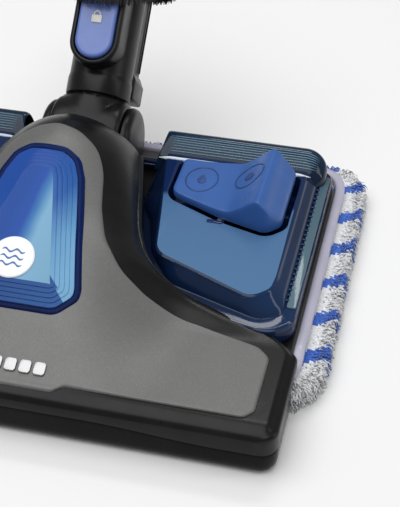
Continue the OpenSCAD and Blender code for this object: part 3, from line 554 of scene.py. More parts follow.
def all_finishes():
    """The finishes, by name, made once."""
    if "satin black" in bpy.data.materials:
        return bpy.data.materials
    look = bpy.context.scene.floor_head_look
    moulded("satin black", tuple(look.shell_colour), 0.3, specular=0.2, coat=0.03, coat_rough=0.12)
    moulded("gloss black", (0.004, 0.0037, 0.004), 0.18, specular=0.1, depth=0.00001)
    moulded("neck black", (0.0045, 0.0045, 0.005), 0.32, specular=0.25)
    moulded("duct black", (0.03, 0.03, 0.033), 0.6)
    moulded("rubber black", (0.012, 0.012, 0.012), 0.75, depth=0.0001)
    moulded("roller grey", (0.12, 0.12, 0.125), 0.5)
    moulded("plate grey", (0.05, 0.05, 0.055), 0.5)
    moulded("rim lavender", tuple(look.rim_colour), 0.36, coat=0.3, coat_rough=0.2, vary=0.06)
    moulded("rocker blue", tuple(look.rocker_colour), 0.38, specular=0.3, coat=0.1, coat_rough=0.2,
            vary=0.08)
    moulded("icon blue", (0.020, 0.060, 0.215), 0.4, vary=0.1)
    moulded("cap blue", (0.028, 0.085, 0.28), 0.38, specular=0.3, coat=0.1, coat_rough=0.2, vary=0.1)
    moulded("valve white", (0.62, 0.62, 0.64), 0.42, vary=0.06)
    moulded("badge white", (0.86, 0.89, 0.93), 0.2, coat=0.8, coat_rough=0.05, vary=0.04)
    moulded("badge blue", (0.03, 0.13, 0.42), 0.25, coat=0.6, coat_rough=0.08, vary=0.1)
    moulded("lock blue", (0.095, 0.165, 0.48), 0.34, coat=0.5, coat_rough=0.15, vary=0.08)
    moulded("lock mark", (0.62, 0.62, 0.58), 0.4, vary=0.05)
    moulded("bristle black", (0.010, 0.009, 0.009), 0.4, vary=0.4)
    moulded("bristle tint", (0.02, 0.03, 0.07), 0.4, vary=0.4)
    flake_paint("titanium paint", tuple(look.panel_colour), (0.215, 0.213, 0.21))
    brushed("steel", (0.62, 0.62, 0.63))
    brushed("badge metal", (0.36, 0.36, 0.365), 0.24)
    navy = (0.004, 0.014, 0.060)
    tinted("tank side", [(0.0, (0.002, 0.006, 0.022)), (0.6, (0.004, 0.012, 0.042)),
                         (1.0, (0.010, 0.034, 0.10))],
           (0.25, -0.1, 1.0), 0.02, 0.075, streak=0.25, coat=0.12)
    # Light blue over the front of the tank's top, dark navy behind: a painted reflection of the sky.
    tinted("tank plateau painted reflection", [(0.0, (0.085, 0.19, 0.345)), (0.5, (0.075, 0.165, 0.325)),
                            (0.55, (0.06, 0.14, 0.29)),
                            (0.57, (0.007, 0.022, 0.09)), (1.0, (0.005, 0.017, 0.07))],
           (0, 1, 0), -0.09, 0.06, streak=0.05, coat=0.15)
    tinted("tank well", [(0.0, navy), (1.0, (0.008, 0.03, 0.11))], (0, 0, 1.0), 0.02, 0.04, coat=0.1)
    tinted("ridge navy", [(0.0, (0.004, 0.014, 0.036)), (1.0, (0.014, 0.042, 0.085))], (0, 0.5, 1.0),
           0.05, 0.08, coat=0.12)
    along_ridge = (1, 0.2, 0), -0.13, 0.13
    tinted("ridge rib", [(0.0, (0.10, 0.19, 0.28)), (1.0, (0.14, 0.25, 0.33))], *along_ridge, coat=0.15)
    # A pale strip under the ridge: a painted highlight along its foot.
    tinted("ridge painted highlight", [(0.0, (0.55, 0.66, 0.74)), (1.0, (0.72, 0.80, 0.86))], *along_ridge)
    tinted("side glass", [(0.0, (0.05, 0.10, 0.14)), (1.0, (0.11, 0.18, 0.22))], (0, -0.4, 1.0), 0.0,
           0.06, coat=0.15)
    tinted("window border", [(0.0, (0.003, 0.009, 0.055)), (1.0, (0.006, 0.022, 0.12))],
           (0.6, 0.7, 0.3),
           -0.06, 0.06, coat=0.0, specular=0.06)
    deep = tuple(look.window_colour)
    # The window's deep blue turns light blue to one side: a painted highlight where it catches the
    # light.
    painted_highlight = tuple(look.window_painted_highlight)
    blues = [(0.0, deep), (0.25, tuple(c * 1.15 for c in deep)), (0.36, (0.06, 0.20, 0.46)),
             (0.5, painted_highlight),
             (1.0, tuple(c * 0.9 for c in painted_highlight))]
    tinted("window blue painted highlight", blues, (1.0, -0.15, 0.0), 0.003, 0.036, specular=0.08, streak=0.12, coat=0.06)
    # Tread colours: the darker copy for the terrace faces on the front side is painted shade; the tread
    # colour that lightens to the right is a painted highlight.
    tinted("window tread painted shade", [(0.0, tuple(c * 0.6 for c in deep)), (1.0, (0.028, 0.10, 0.31))],
           (1.0, -0.2, 0.0), -0.02, 0.05, streak=0.15, coat=0.04, specular=0.1)
    tinted("window tread painted highlight", [(0.0, deep), (0.45, (0.035, 0.12, 0.38)), (0.75, (0.13, 0.32, 0.55)),
                            (1.0, (0.17, 0.38, 0.60))],
           (1.0, -0.45, 0.0), 0.016, 0.068, specular=0.1, streak=0.15, coat=0.08)
    yarn("yarn white", tuple(look.yarn_white), (0.56, 0.58, 0.61))
    yarn("yarn blue", tuple(look.yarn_blue), (0.010, 0.05, 0.28))
    # Darker yarns for scattered strands: painted shade between the tufts.
    yarn("yarn painted shade grey", (0.42, 0.43, 0.45), (0.16, 0.165, 0.18))
    yarn("yarn painted shade blue", (0.02, 0.10, 0.46), (0.008, 0.04, 0.22))
    yarn("velour red", (0.28, 0.02, 0.03), (0.10, 0.008, 0.01))
    yarn("felt", (0.62, 0.62, 0.58), (0.40, 0.40, 0.37))
    return bpy.data.materials


# ---- Housing ----

def parting(x):
    """Height of the line between housing and bumper."""
    return PARTING_Z + 3.2 * (1 - ease(50, 110, abs(x)))


def build_housing():
    """The black shell: nozzle cover and dome in one skin."""
    m = all_finishes()
    ys = [0, 0, 0.25, 0.6, 1.2, 2, 3, 4.2, 5.6, 7, 8.4, 10] + [10 + 42 * k / 16 for k in range(1, 17)]
    ys += [52 + 48 * k / 40 for k in range(1, 41)] + [100 + 58 * k / 36 for k in range(1, 37)] + [158]
    top = 96
    side = [(0, 0.0), (0, 0.4), (0, 0.8)]
    edge = [(1 - math.cos(a), math.sin(a)) for a in (math.pi / 2 * k / 5 for k in range(6))]

    def put(j, i):
        y = ys[j]
        half = plan_half(y)
        z0 = (parting(0) if y < 30 else TRAY_TOP) + 0.15
        r = min(2.2, half * 0.1)
        flat = j in (0, len(ys) - 1)
        k = i if i <= (len(side) + len(edge) + top // 2) else 2 * (len(side) + len(edge)) + top - i
        sign = -1 if k == i else 1
        if k < len(side):
            x = half
            zt = skin_z(half - r, y) - r
            z = z0 + (zt - z0) * side[k][1]
        elif k < len(side) + len(edge):
            a, b = edge[k - len(side)]
            x = half - a * r
            z = skin_z(half - r, y) - r + b * r
        else:
            u = (k - len(side) - len(edge) + 1) / (top / 2 + 1)
            x = (half - r) * math.sin((1 - u) * math.pi / 2) ** 0.9
            z = skin_z(x, y)
        if y < 30:
            z = max(z, parting(x) + 0.15) if k >= len(side) else z - parting(0) + parting(x) \
                if k == 0 else z
        if flat:
            z = (parting(x) if y < 30 else TRAY_TOP) + 0.15
        return at(sign * x, y, z)

    columns = 2 * (len(side) + len(edge)) + top + 1
    shell = lofted("housing_shell", len(ys), columns, put)
    smooth(shell, 38)
    finish_piece(shell, "chassis", m["satin black"], ["main_housing"])



def panel_outline():
    """The satin panel seen from above, right half, rear to front."""
    side = HALF_W - 12
    return [
        (0, CROWN_Y + 22), (11, CROWN_Y + 20.5), (21, CROWN_Y + 15), (27, CROWN_Y + 5),
        (31.5, CROWN_Y - 15),
        (38, 80), (48, 68.5), (61, 64), (88, 59.5), (side - 6, 52.5), (side, 47), (side, 13),
        (side - 4, 8.6), (0, 8.6),
    ]


def build_panel():
    """The satin metallic panel, laid on the housing with a soft edge."""
    m = all_finishes()
    right = panel_outline()
    whole = right + [(-x, y) for x, y in reversed(right[1:-1])]
    radii = [20, 12, 16, 40, 40, 30, 20, 14, 30, 7, 6, 5, 4, 1]
    radii = radii + list(reversed(radii[1:-1]))
    line = rounded(whole, radii, 6)
    line = ray_outline(line, (0, 50), 720)
    rows = [(1.0, 0.0), (1.0, 0.55), (0.35, 0.95), (0.9, 1.15), (1.8, 1.2)]
    grid = []
    for k, (d, h) in enumerate(rows):
        grid.append((0.0 if k < 2 else d, h))
    rings_in = 46

    def put(j, i):
        p = line[i % 720]
        c = Vector((0, 50))
        if j < len(grid):
            d, h = grid[j]
            q = p + (c - p).normalized() * d
        else:
            t = (j - len(grid) + 1) / rings_in
            q = (p + (c - p).normalized() * 1.8).lerp(c, t)
            h = 1.2
        x, y = q
        y -= 3.6 * (1 - ease(33, 40, abs(x))) * max(0, 1 - (y - 8.6) / 10)
        return at(x, y, skin_z(x, y) + h)

    piece = lofted("satin_panel", len(grid) + rings_in, 721, put, closed=True)
    smooth(piece, 40)
    finish_piece(piece, "chassis", m["titanium paint"], ["top_cover"])

    strokes = []
    for k in range(9):
        x0 = -30 + k * 6.75
        deselect()
        shape = rounded([(x0, 11.6), (x0, 17.2), (x0 + 5.4, 17.2), (x0 + 5.4, 11.6)], 1.5, 5)
        strokes.append(prism("stroke", shape, 0, 1, lambda x, y,
                             z: at(x, y - 1.2, skin_z(x, y) + 1.0 + z * 0.7),
                             0.25, 2))
    bar_piece = joined("name_bar", strokes)
    finish_piece(bar_piece, "chassis", m["badge metal"], ["badge_strip"])


def deck_at(x, s, h):
    """A point on the window's plane: s up the sloping panel, h above it."""
    a = math.radians(24.3)
    return at(x, DECK_Y + s * math.cos(a) - h * math.sin(a), DECK_Z + s * math.sin(a) + h * math.cos(a))


WINDOW = [(-26.5, 33), (26.5, 33), (34.8, 42), (34.8, 47), (20.6, 106), (16.5, 115.5), (9, 120),
          (-9, 120), (-16.5, 115.5), (-20.6, 106), (-34.8, 47), (-34.8, 42)]


def window_height(x, s):
    """How far the housing falls away below the window's plane, eased in to keep it flat inside."""
    a = math.radians(24.3)
    y = DECK_Y + s * math.cos(a)
    fall = DECK_Z + s * math.sin(a) - skin_z(x, y)
    return max(0.0, fall) * math.cos(a)


def build_window():
    """The blue window: a dark border, four terraces and a flat plateau."""
    m = all_finishes()
    count = 200
    centre = (0, 72)

    def line(d, r):
        return ray_outline(rounded(inset_outline(WINDOW, d), max(1.5, r - d * 0.4), 8), centre, count)

    def put(outline, h):
        return [deck_at(p.x, p.y, h - window_height(p.x, p.y) * 0.85) for p in outline]

    border = [put(line(-0.4, 8), 0.6), put(line(-0.3, 8), 1.3), put(line(0.1, 8), 1.65),
              put(line(1.0, 8), 1.75),
              put(line(2.2, 8), 1.6), put(line(2.9, 8), 1.0)]
    frame_ring = rings("window_border", border, ())
    smooth(frame_ring, 45)
    finish_piece(frame_ring, "chassis", m["window border"], ["window_backing"])

    steps = []
    d, h = 2.8, 1.0
    for _ in range(5):
        steps += [put(line(d, 8), h), put(line(d + 0.12, 8), h + 0.42), put(line(d + 0.4, 8), h + 0.5),
                  put(line(d + 2.1, 8), h + 0.5)]
        d, h = d + 2.2, h + 0.42
    flat = line(d, 8)
    steps.append(put(flat, h + 0.08))
    glass = rings("window_glass", steps, ())
    smooth(glass, 25)
    # Terrace faces on the front side take the darker copy of the tread colour: painted shade.
    for face in glass.data.polygons:
        along = ((face.center.y - FRONT_Y) / MM - DECK_Y) / math.cos(DECK_SLOPE) - 72
        turned = math.degrees(math.atan2(along, face.center.x / MM))
        face.material_index = 1 if -131 < turned < -49 else 0
    finish_piece(glass, "chassis", [m["window tread painted highlight"], m["window tread painted shade"]], ["window_lens"])
    inner = [put(flat, h + 0.08)]
    for t in (0.7, 0.4, 0.15, 0.02):
        inner.append([deck_at(p.x * t, 72 + (p.y - 72) * t, h + 0.08) for p in flat])
    plate = rings("window_plateau", inner, (-1,))
    smooth(plate, 30)
    finish_piece(plate, "chassis", m["window blue painted highlight"], ())
    top = h + 0.1

    r = bpy.context.scene.floor_head_sizes.badge_radius / MM
    profile = [(0.01, 0), (r, 0), (r, 0.5), (r - 0.4, 0.85), (r - 1.2, 0.95), (r - 1.6, 0.8),
               (r - 2, 0.75),
               (0.01, 0.75)]
    disc = lathe("badge_disc", profile, lambda x, y, z: deck_at(x, 57 + y, top + z), 72, True)
    smooth(disc, 40)
    finish_piece(disc, "chassis", m["badge white"], ["emblem_badge"])
    waves = []
    for k in range(3):
        def put_wave(j, i, k=k):
            x = -5.6 + 11.2 * j / 30
            a = 2 * math.pi * i / 8
            y = 53.4 + 3.4 * k + 0.8 * math.sin(x * 1.1)
            taper = 0.52 * math.sqrt(max(0.02, 1 - (x / 5.7) ** 6))
            return deck_at(x, y + taper * math.cos(a), top + 0.78 + 0.4 * taper * math.sin(a))
        waves.append(lofted("wave", 31, 9, put_wave))
    mark = smooth(joined("badge_waves", waves), 50)
    finish_piece(mark, "chassis", m["badge blue"], ())


def front_path(grow, rear):
    """The nozzle's outline from its left rear round the front to its right rear."""
    right = [(HALF_W + grow, rear - (rear - CORNER_R) * k / 6) for k in range(6)]
    right += [
        (HALF_W - CORNER_R + (CORNER_R + grow) * math.cos(a),
         CORNER_R - (CORNER_R + grow) * math.sin(a))
        for a in (math.pi / 2 * k / 12 for k in range(13))
    ]
    across = [(HALF_W - CORNER_R) * (1 - k / 60) for k in range(1, 60)]
    right += [(x, -grow) for x in across]
    right.append((0, -grow))
    return [(-x, y) for x, y in right[:-1]] + list(reversed(right))


def build_bumper():
    """The bumper round the nozzle's foot, with a soft belly and a rolled lower edge."""
    m = all_finishes()
    profile = [(-2.6, 2.9), (-1.6, 2.4), (-0.9, 2.6), (-0.35, 3.6), (-0.06, 6), (0.0, 8.5), (-0.06, 11),
               (-0.16, 12.6), (-0.5, 13.2), (-1.2, 13.3)]
    paths = [front_path(d, 36) for d, _ in profile]

    def put(j, i):
        x, y = paths[j][i]
        z = profile[j][1]
        lift = (parting(x) - PARTING_Z) * ease(7, 12.4, z) - 0.9 * ease(10, 13, z)
        return at(x, y, z + lift)

    piece = lofted("bumper_strip", len(profile), len(paths[0]), put)
    smooth(piece, 40)
    finish_piece(piece, "chassis", m["gloss black"], ["front_bumper"])
    for name, finish_name in (("lower_housing", "satin black"), ("suction_duct", "duct black"),
                              ("mouth_lip", "rubber black"), ("lint_strips", "velour red"),
                              ("roller_axles", "steel"), ("housing_screws", "steel"),
                              ("water_felts", "felt"),
                              ("roller_left", "roller grey"), ("roller_right", "roller grey"),
                              ("valve_seal", "rubber black"), ("valve_spring", "steel"),
                              ("rocker_pin", "steel"),
                              ("valve_plunger", "valve white"), ("cap_seal", "rubber black"),
                              ("cap_hinge_pin", "steel"), ("mop_plate", "plate grey"),
                              ("hook_strips", "plate grey"), ("lock_spring", "steel"),
                              ("lock_latch", "steel"),
                              ("wand_tube", "neck black"), ("wand_spigot", "neck black"),
                              ("barrel_seals", "rubber black"), ("filler_neck", "tank well")):
        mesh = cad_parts[name].data
        mesh.materials.clear()
        mesh.materials.append(m[finish_name])


# ---- Neck ----

def build_yoke():
    """Two domed ears that hold the elbow, on a foot behind the dome."""
    m = all_finishes()
    centre_y, centre_z, r, x0, x1 = 180, 34.5, 21.3, 19.7, 24.6
    profile = [(0.01, x0), (r - 0.6, x0), (r, x0 + 0.5)]
    profile += [(r - 4.4 * (1 - math.cos(a)), x0 + 1.0 + (x1 - x0 - 1.0) * math.sin(a))
                for a in (math.pi / 2 * k / 10 for k in range(11))]
    profile += [(13, x1 + 0.35), (9, x1 + 0.75), (5, x1 + 1.05), (0.01, x1 + 1.15)]
    ear = lathe("ear", profile, lambda a, b, h: at(h, centre_y + a, centre_z + b), 72, True)
    strut = bar("strut", (x0 + 0.3, 150, 17.2), (x1 - 0.9, 178, 45), at, 1.0)
    right = joined("ear_right", [ear, strut])
    deselect()
    bpy.ops.mesh.primitive_cube_add(size=1)
    cutter = adopt("cutter")
    for v in cutter.data.vertices:
        v.co = at(22 + v.co.x * 12, (184 if v.co.y < 0 else 210), (12 if v.co.z < 0 else 22.6))
    apply_modifier(right, "BOOLEAN", operation="DIFFERENCE", object=cutter, solver="EXACT")
    for v in cutter.data.vertices:
        v.co = at(22 + (12 if v.co.x > 0.022 else -12), (145 if v.co.y < at(0, 190, 0).y else 215),
                  (10 if v.co.z < 0.015 else 17.05))
    apply_modifier(right, "BOOLEAN", operation="DIFFERENCE", object=cutter, solver="EXACT")
    bpy.data.objects.remove(cutter)
    smooth(right, 35)
    left = mirrored(right, "ear_left")
    smooth(left, 35)
    finish_piece(right, "chassis", m["neck black"], ["neck_yoke"])
    finish_piece(left, "chassis", m["neck black"], ["pivot_caps"])
    foot = bar("yoke_foot", (-24.4, 150, 17.05), (24.4, 183.5, 19.3), at, 0.8)
    finish_piece(foot, "chassis", m["neck black"], ())


def build_elbow():
    """The elbow that tilts between the ears: a barrel that flows into a round stem."""
    m = all_finishes()
    barrel = [(0.01, -19.2), (17.6, -19.2), (19.0, -18.5), (19.6, -17), (20.1, -12), (20.3, -5),
              (20.3, 5),
              (20.1, 12), (19.6, 17), (19.0, 18.5), (17.6, 19.2), (0.01, 19.2)]
    drum = lathe("drum", barrel, lambda a, b, h: neck_at(h, a, b), 64, True)
    ball = [(0.01, -14), (18.9, -2), (18.9, 5), (18.6, 10), (17.9, 14), (17.0, 17.4), (16.6, 19.4),
            (0.01, 19.4)]
    stem = lathe("stem", ball, neck_at, 64, True)
    body = joined("elbow", [drum, stem])
    apply_modifier(body, "REMESH", mode="VOXEL", voxel_size=0.0009)
    apply_modifier(body, "SMOOTH", factor=0.5, iterations=14)
    flat_top = neck_at(0, 0, 19.45)
    axis = Vector((0, math.sin(LEAN), math.cos(LEAN)))
    for v in body.data.vertices:
        over = (v.co - flat_top).dot(axis)
        if over > -0.0006:
            v.co -= axis * over
    smooth(body, 60)
    finish_piece(body, "neck", m["neck black"], ["pitch_barrel"])
    pin = lathe("trunnion", [(0.01, -24.2), (5.6, -24.2), (5.9, -23.9), (5.9, 23.9), (5.6, 24.2),
                             (0.01, 24.2)],
                lambda a, b, h: neck_at(h, a, b), 40, True)
    smooth(pin, 35)
    finish_piece(pin, "neck", m["steel"], ())
    sleeve = lathe("stem_sleeve", [(13.2, 18), (15.05, 18), (15.05, 35.6), (14.7, 36), (13.5, 36),
                                   (13.2, 35.7)],
                   neck_at, 56, True)
    smooth(sleeve, 35)
    finish_piece(sleeve, "neck", m["neck black"], ())


def u_line(half, centre, end):
    """A closed U seen from the front: round below, square above, as (x, s)."""
    pts = [(half * math.cos(a), centre + half * math.sin(a))
           for a in (-math.pi + math.pi * k / 48 for k in range(49))]
    pts += [(half, centre + (end - centre) * k / 12) for k in range(1, 13)]
    pts += [(half - 2 * half * k / 10, end) for k in range(1, 11)]
    pts += [(-half, end - (end - centre) * k / 12) for k in range(1, 12)]
    return pts


def build_neck_tube():
    """The swivelling tube with its collar, rear rail, hinge block and lock boss."""
    m = all_finishes()
    tube = [(15.15, 20.2), (16.7, 20.1), (17.2, 20.5), (17.3, 21.3), (17.3, 28.6), (17.15, 30.0),
            (16.9, 30.9),
            (16.8, 32), (16.8, 87.3), (16.4, 87.9), (15.1, 87.9)]
    piece = lathe("neck_sleeve", tube, neck_at, 96, True)
    smooth(piece, 32)
    finish_piece(piece, "swivel", m["neck black"], ["neck_tube"])

    rail_shape = rounded([(-14.8, 6), (-14.8, 22.2), (-12.2, 24.9), (12.2, 24.9), (14.8, 22.2),
                          (14.8, 6)],
                         [0.6, 1.0, 1.0, 1.0, 1.0, 0.6], 4)
    rail = prism("rail", rail_shape, 39, 87.8, neck_at, 0.5, 2)
    groove = [bar("groove", (s * 15.4 - 0.5, 19.0, 41), (s * 15.4 + 0.5, 19.5, 87), neck_at, 0.2, 2)
              for s in (-1, 1)]
    low = [(-17.4, 24), (-17.4, 34.4), (-14.6, 40), (14.6, 40), (17.4, 34.4), (17.4, 24)]
    block_line = rounded(low, [1.2, 1.2, 1.2, 1.2, 1.2, 1.2], 3)
    block = prism("block", block_line, 6, 27.1, lambda x, y, z: neck_at(x, z, y), 0.9, 3)
    spine = joined("rear_rail", [rail, block] + groove)
    smooth(spine, 30)
    finish_piece(spine, "swivel", m["neck black"], ["neck_spine"])

    rows = [(0, 8), (0, 23.4), (0.12, 24.4), (0.5, 25.3), (1.1, 25.8), (1.7, 25.9), (2.3, 25.75),
            (2.7, 25.3),
            (2.85, 24.6), (2.95, 18.9)]
    outlines = []
    for d, p in rows:
        outlines.append([neck_at(x, -p, s) for x, s in u_line(13.4 - d, 45.6, 86 - d * 0.6)])
    boss = rings("lock_boss", outlines, (-1,))
    smooth(boss, 32)
    finish_piece(boss, "swivel", m["neck black"], ["lock_housing"])


def build_lock_button():
    """The blue lock button with its raised padlock mark."""
    m = all_finishes()
    rows = [(0, 21.0), (0, 25.9), (0.12, 26.6), (0.45, 27.1), (1.0, 27.4), (1.8, 27.5), (3.5, 27.42),
            (6.5, 27.3)]
    outlines = [[neck_at(x, -p, s) for x, s in u_line(10 - d, 45.6, 79 - d)] for d, p in rows]
    piece = rings("lock_pad", outlines, (0, -1))
    smooth(piece, 32)
    finish_piece(piece, "lock", m["lock blue"], ["lock_button"])
    front = lambda x, y, z: neck_at(x, -27.15 - z, y + 56.4)
    body = prism("lock_body", rounded([(-2.7, -2.2), (2.7, -2.2), (2.7, 1.9), (-2.7, 1.9)], 0.5, 3), 0,
                 0.75, front,
                 0.2, 2)

    def put(j, i):
        a = math.pi * j / 16
        b = 2 * math.pi * i / 8
        r = 1.65 + 0.38 * math.cos(b)
        return front(r * math.cos(a), 1.9 + r * math.sin(a) * 1.25, 0.45 + 0.3 * math.sin(b))

    shackle = lofted("shackle", 17, 9, put)
    mark = smooth(joined("padlock_mark", [body, shackle]), 40)
    finish_piece(mark, "lock", m["lock mark"], ["lock_icon"])


def build_dust_brush():
    """The sliding ring on the wand, with its skirt of bristles."""
    m = all_finishes()
    ring = [(30.0, 88.2), (34.2, 88.2), (34.7, 88.8), (34.7, 99.5), (33.6, 101.6), (31.5, 102),
            (24, 102),
            (20.6, 103), (19.8, 107.4), (19.2, 108), (16.95, 108), (16.95, 99.2), (29.4, 99),
            (30.0, 97.5)]
    piece = lathe("brush_collar", ring, neck_at, 96, True)
    smooth(piece, 32)
    finish_piece(piece, "dust_brush", m["neck black"], ["brush_ring"])
    rng = random.Random(11)
    mesh = bmesh.new()
    for k in range(62):
        for row in range(2):
            base_a = 2 * math.pi * (k + 0.5 * row) / 62
            base_r = 31.2 + 1.9 * row
            for _ in range(11):
                a = base_a + rng.uniform(-0.03, 0.03)
                r = base_r + rng.uniform(-0.6, 0.6)
                tip = 83.5 - 21.5 * max(0.0, -math.sin(a)) + rng.uniform(0, 2.0)
                spread = rng.uniform(-0.3, 0.9)
                swing = a + rng.uniform(-0.05, 0.05)
                points = []
                for s, rr, aa, w in ((89, r, a, 0.34),
                                     ((89 + tip) / 2, r + spread * 0.3, (a + swing) / 2, 0.3),
                                     (tip, min(34.3, r + spread), swing, 0.16)):
                    points.append([mesh.verts.new(neck_at(rr * math.cos(aa) + w * math.cos(q),
                                                          rr * math.sin(aa) + w * math.sin(q), s))
                                   for q in (0, 2.1, 4.2)])
                colour = 1 if rng.random() < 0.06 else 0
                for lower, upper in zip(points, points[1:]):
                    for q in range(3):
                        f = mesh.faces.new([lower[q], lower[(q + 1) % 3], upper[(q + 1) % 3], upper[q]])
                        f.material_index = colour
                f = mesh.faces.new(list(reversed(points[-1])))
                f.material_index = colour
                mesh.faces.new(points[0]).material_index = colour
    bmesh.ops.recalc_face_normals(mesh, faces=mesh.faces[:])
    deselect()
    bpy.ops.mesh.primitive_plane_add()
    hair = adopt("brush_hair")
    mesh.to_mesh(hair.data)
    mesh.free()
    finish_piece(hair, "dust_brush", [m["bristle black"], m["bristle tint"]], ["brush_bristles"])


# ---- Tank ----

LOBE_LOW = [(38.5, 189), (38.5, 142), (45.5, 130), (52.5, 106), (66.5, 85), (113, 69), (124, 74),
            (124, 189)]
LOBE_TOP = [(42, 185), (43.5, 168), (49, 138), (57, 95.8), (109, 73), (117, 81), (118, 91), (118, 185)]
LOBE_TOP_R = [4, 30, 30, 13, 9, 7, 10, 8]
VALVE_EYE = (92, 147)
ROCKER_PLAN = [(54, 171), (54, 142), (82, 129), (106, 122), (113, 129), (113, 171)]
LOBE_EYE = (86, 140)
LOBE_POINTS = 240


def lobe_line(points, radii, grow=0.0):
    """A lobe outline as evenly turned points, drawn in by -grow."""
    line = rounded(points, radii, 7)
    return ray_outline(inset_outline(line, -grow) if grow else line, LOBE_EYE, LOBE_POINTS)


def tank_side_outline():
    """The tank's outer outline, right half."""
    pts = [(41, TANK_REAR), (41, 150), (36.5, 141), (38.5, 118), (44, 96), (54, 82), (70, 72),
           (120, 61),
           (TANK_HALF, 71), (TANK_HALF, TANK_REAR)]
    return rounded(pts, [3, 12, 8, 14, 14, 14, 20, 12, 10, 10], 6)


def build_tank():
    """The two blue lobes with sloping sides, a flat top and a well for the rocker."""
    m = all_finishes()
    outer = tank_side_outline()
    base = ray_outline(outer, LOBE_EYE, LOBE_POINTS)
    eye = Vector(LOBE_EYE)

    def drawn(line, d):
        return [p + (eye - p).normalized() * d for p in line]

    low = lobe_line(LOBE_LOW, [4, 16, 18, 16, 14, 9, 8, 8])
    top = lobe_line(LOBE_TOP, LOBE_TOP_R)
    well = lobe_line(ROCKER_PLAN, [3, 8, 14, 6, 8, 3], 2.7)

    def level(line, z):
        return [at(p.x, p.y, z) for p in line]

    def mix(a, b, t):
        return [p.lerp(q, t) for p, q in zip(a, b)]

    drain = [Vector((VALVE_EYE[0] + 7 * math.cos(a), VALVE_EYE[1] + 7 * math.sin(a)))
             for a in (2 * math.pi * k / LOBE_POINTS for k in range(LOBE_POINTS))]
    sides = [level(drain, 17.5), level(drawn(base, 1.2), 17.5), level(drawn(base, 0.3), 17.7),
             level(base, 18.4), level(base, 25.4),
             level(drawn(base, 0.3), 26.3), level(drawn(base, 1.1), 26.9),
             level(drawn(base, 2), FLANGE_Z)]
    sides += [level(drawn(low, -0.6), FLANGE_Z), level(drawn(low, 0), 27.25),
              level(mix(low, top, 0.06), 27.9)]
    sides += [level(mix(low, top, t), 27.9 + 7.2 * t ** 0.94) for t in (0.2, 0.35, 0.5, 0.65, 0.8,
                                                                        0.92)]
    sides += [level(mix(low, top, 0.985), 35.35), level(drawn(top, 0.5), 35.75),
              level(drawn(top, 1.3), TANK_TOP - 0.04)]
    shell = rings("tank_sides", sides, ())
    smooth(shell, 32)
    plateau = [level(drawn(top, 1.3), TANK_TOP - 0.04), level(drawn(top, 2.2), TANK_TOP)]
    inner = drawn(top, 2.2)
    for t in (0.25, 0.5, 0.75):
        plateau.append(level(mix(inner, drawn(well, -1.0), t), TANK_TOP))
    plateau += [level(drawn(well, -0.9), TANK_TOP), level(drawn(well, -0.2), 35.8), level(well, 35.3)]
    deck = rings("tank_deck", plateau, ())
    smooth(deck, 32)
    pit = rings("tank_well", [level(well, 35.3), level(drawn(well, 0.5), 24),
                              level(drawn(well, 1.2), 23),
                              level(drawn(well, 3), 22.7), level(drain, 22.7)], ())
    smooth(pit, 32)
    finish_piece(shell, "tank", m["tank side"], ["tank_lower"])
    finish_piece(deck, "tank", m["tank plateau painted reflection"], ["tank_upper"])
    finish_piece(pit, "tank", m["tank well"], ())

    left_sides = mirrored(shell, "tank_sides_left")
    smooth(left_sides, 32)
    finish_piece(left_sides, "tank", m["tank side"], ())
    hole_line = [Vector((88 + 13.2 * math.cos(a), 128 + 13.2 * math.sin(a)))
                 for a in (2 * math.pi * k / LOBE_POINTS for k in range(LOBE_POINTS))]
    eye2 = Vector((88, 128))
    line = rounded(LOBE_TOP, LOBE_TOP_R, 7)
    outer_top = [p + (eye - p).normalized() * 1.3 for p in line]
    rim_line = ray_outline(outer_top, eye2, LOBE_POINTS)
    left_plateau = [level(rim_line, TANK_TOP - 0.04)]
    for t in (0.03, 0.35, 0.7):
        left_plateau.append(level(mix(rim_line, hole_line, t), TANK_TOP))
    left_plateau += [level(mix(rim_line, hole_line, 0.97), TANK_TOP), level(hole_line, TANK_TOP - 0.3),
                     level(hole_line, TANK_TOP - 2)]
    for outline in left_plateau:
        for p in outline:
            p.x = -p.x
    left_deck = rings("tank_deck_left", left_plateau, ())
    smooth(left_deck, 32)
    finish_piece(left_deck, "tank", m["tank plateau painted reflection"], ())
    tab = bar("well_tab", (76, 124.2, 35.2), (84, 126.6, 36.5), at, 0.4, 2)
    finish_piece(tab, "tank", m["tank well"], ())
    bridge = bar("tank_bridge", (-41.4, 186.1, 17.4), (41.4, 192.9, 21.4), at, 0.8)
    finish_piece(bridge, "tank", m["tank side"], ())

    for side in (1, -1):
        label = "right" if side > 0 else "left"
        shape = rounded([(0, 80), (4.4, 80), (4.4, 187), (0, 187)], 1.2, 4)
        glass = prism("side_glass_" + label, shape, 0, 1.0,
                      lambda x, y, z, side=side: at(side * (124.6 + x), y, FLANGE_Z - 0.15 + z), 0.3, 2)
        smooth(glass, 35)
        teeth = [bar("tooth", (side * 124.2 - 1.0, 84 + k * 3.9, 26.9),
                     (side * 124.2 + 1.0, 85.3 + k * 3.9, 28.3),
                     at, 0.25, 2) for k in range(26)]
        comb = smooth(joined("side_teeth_" + label, teeth), 35)
        finish_piece(comb, "tank", m["tank well"], ())
        finish_piece(glass, "tank", m["side glass"], ())


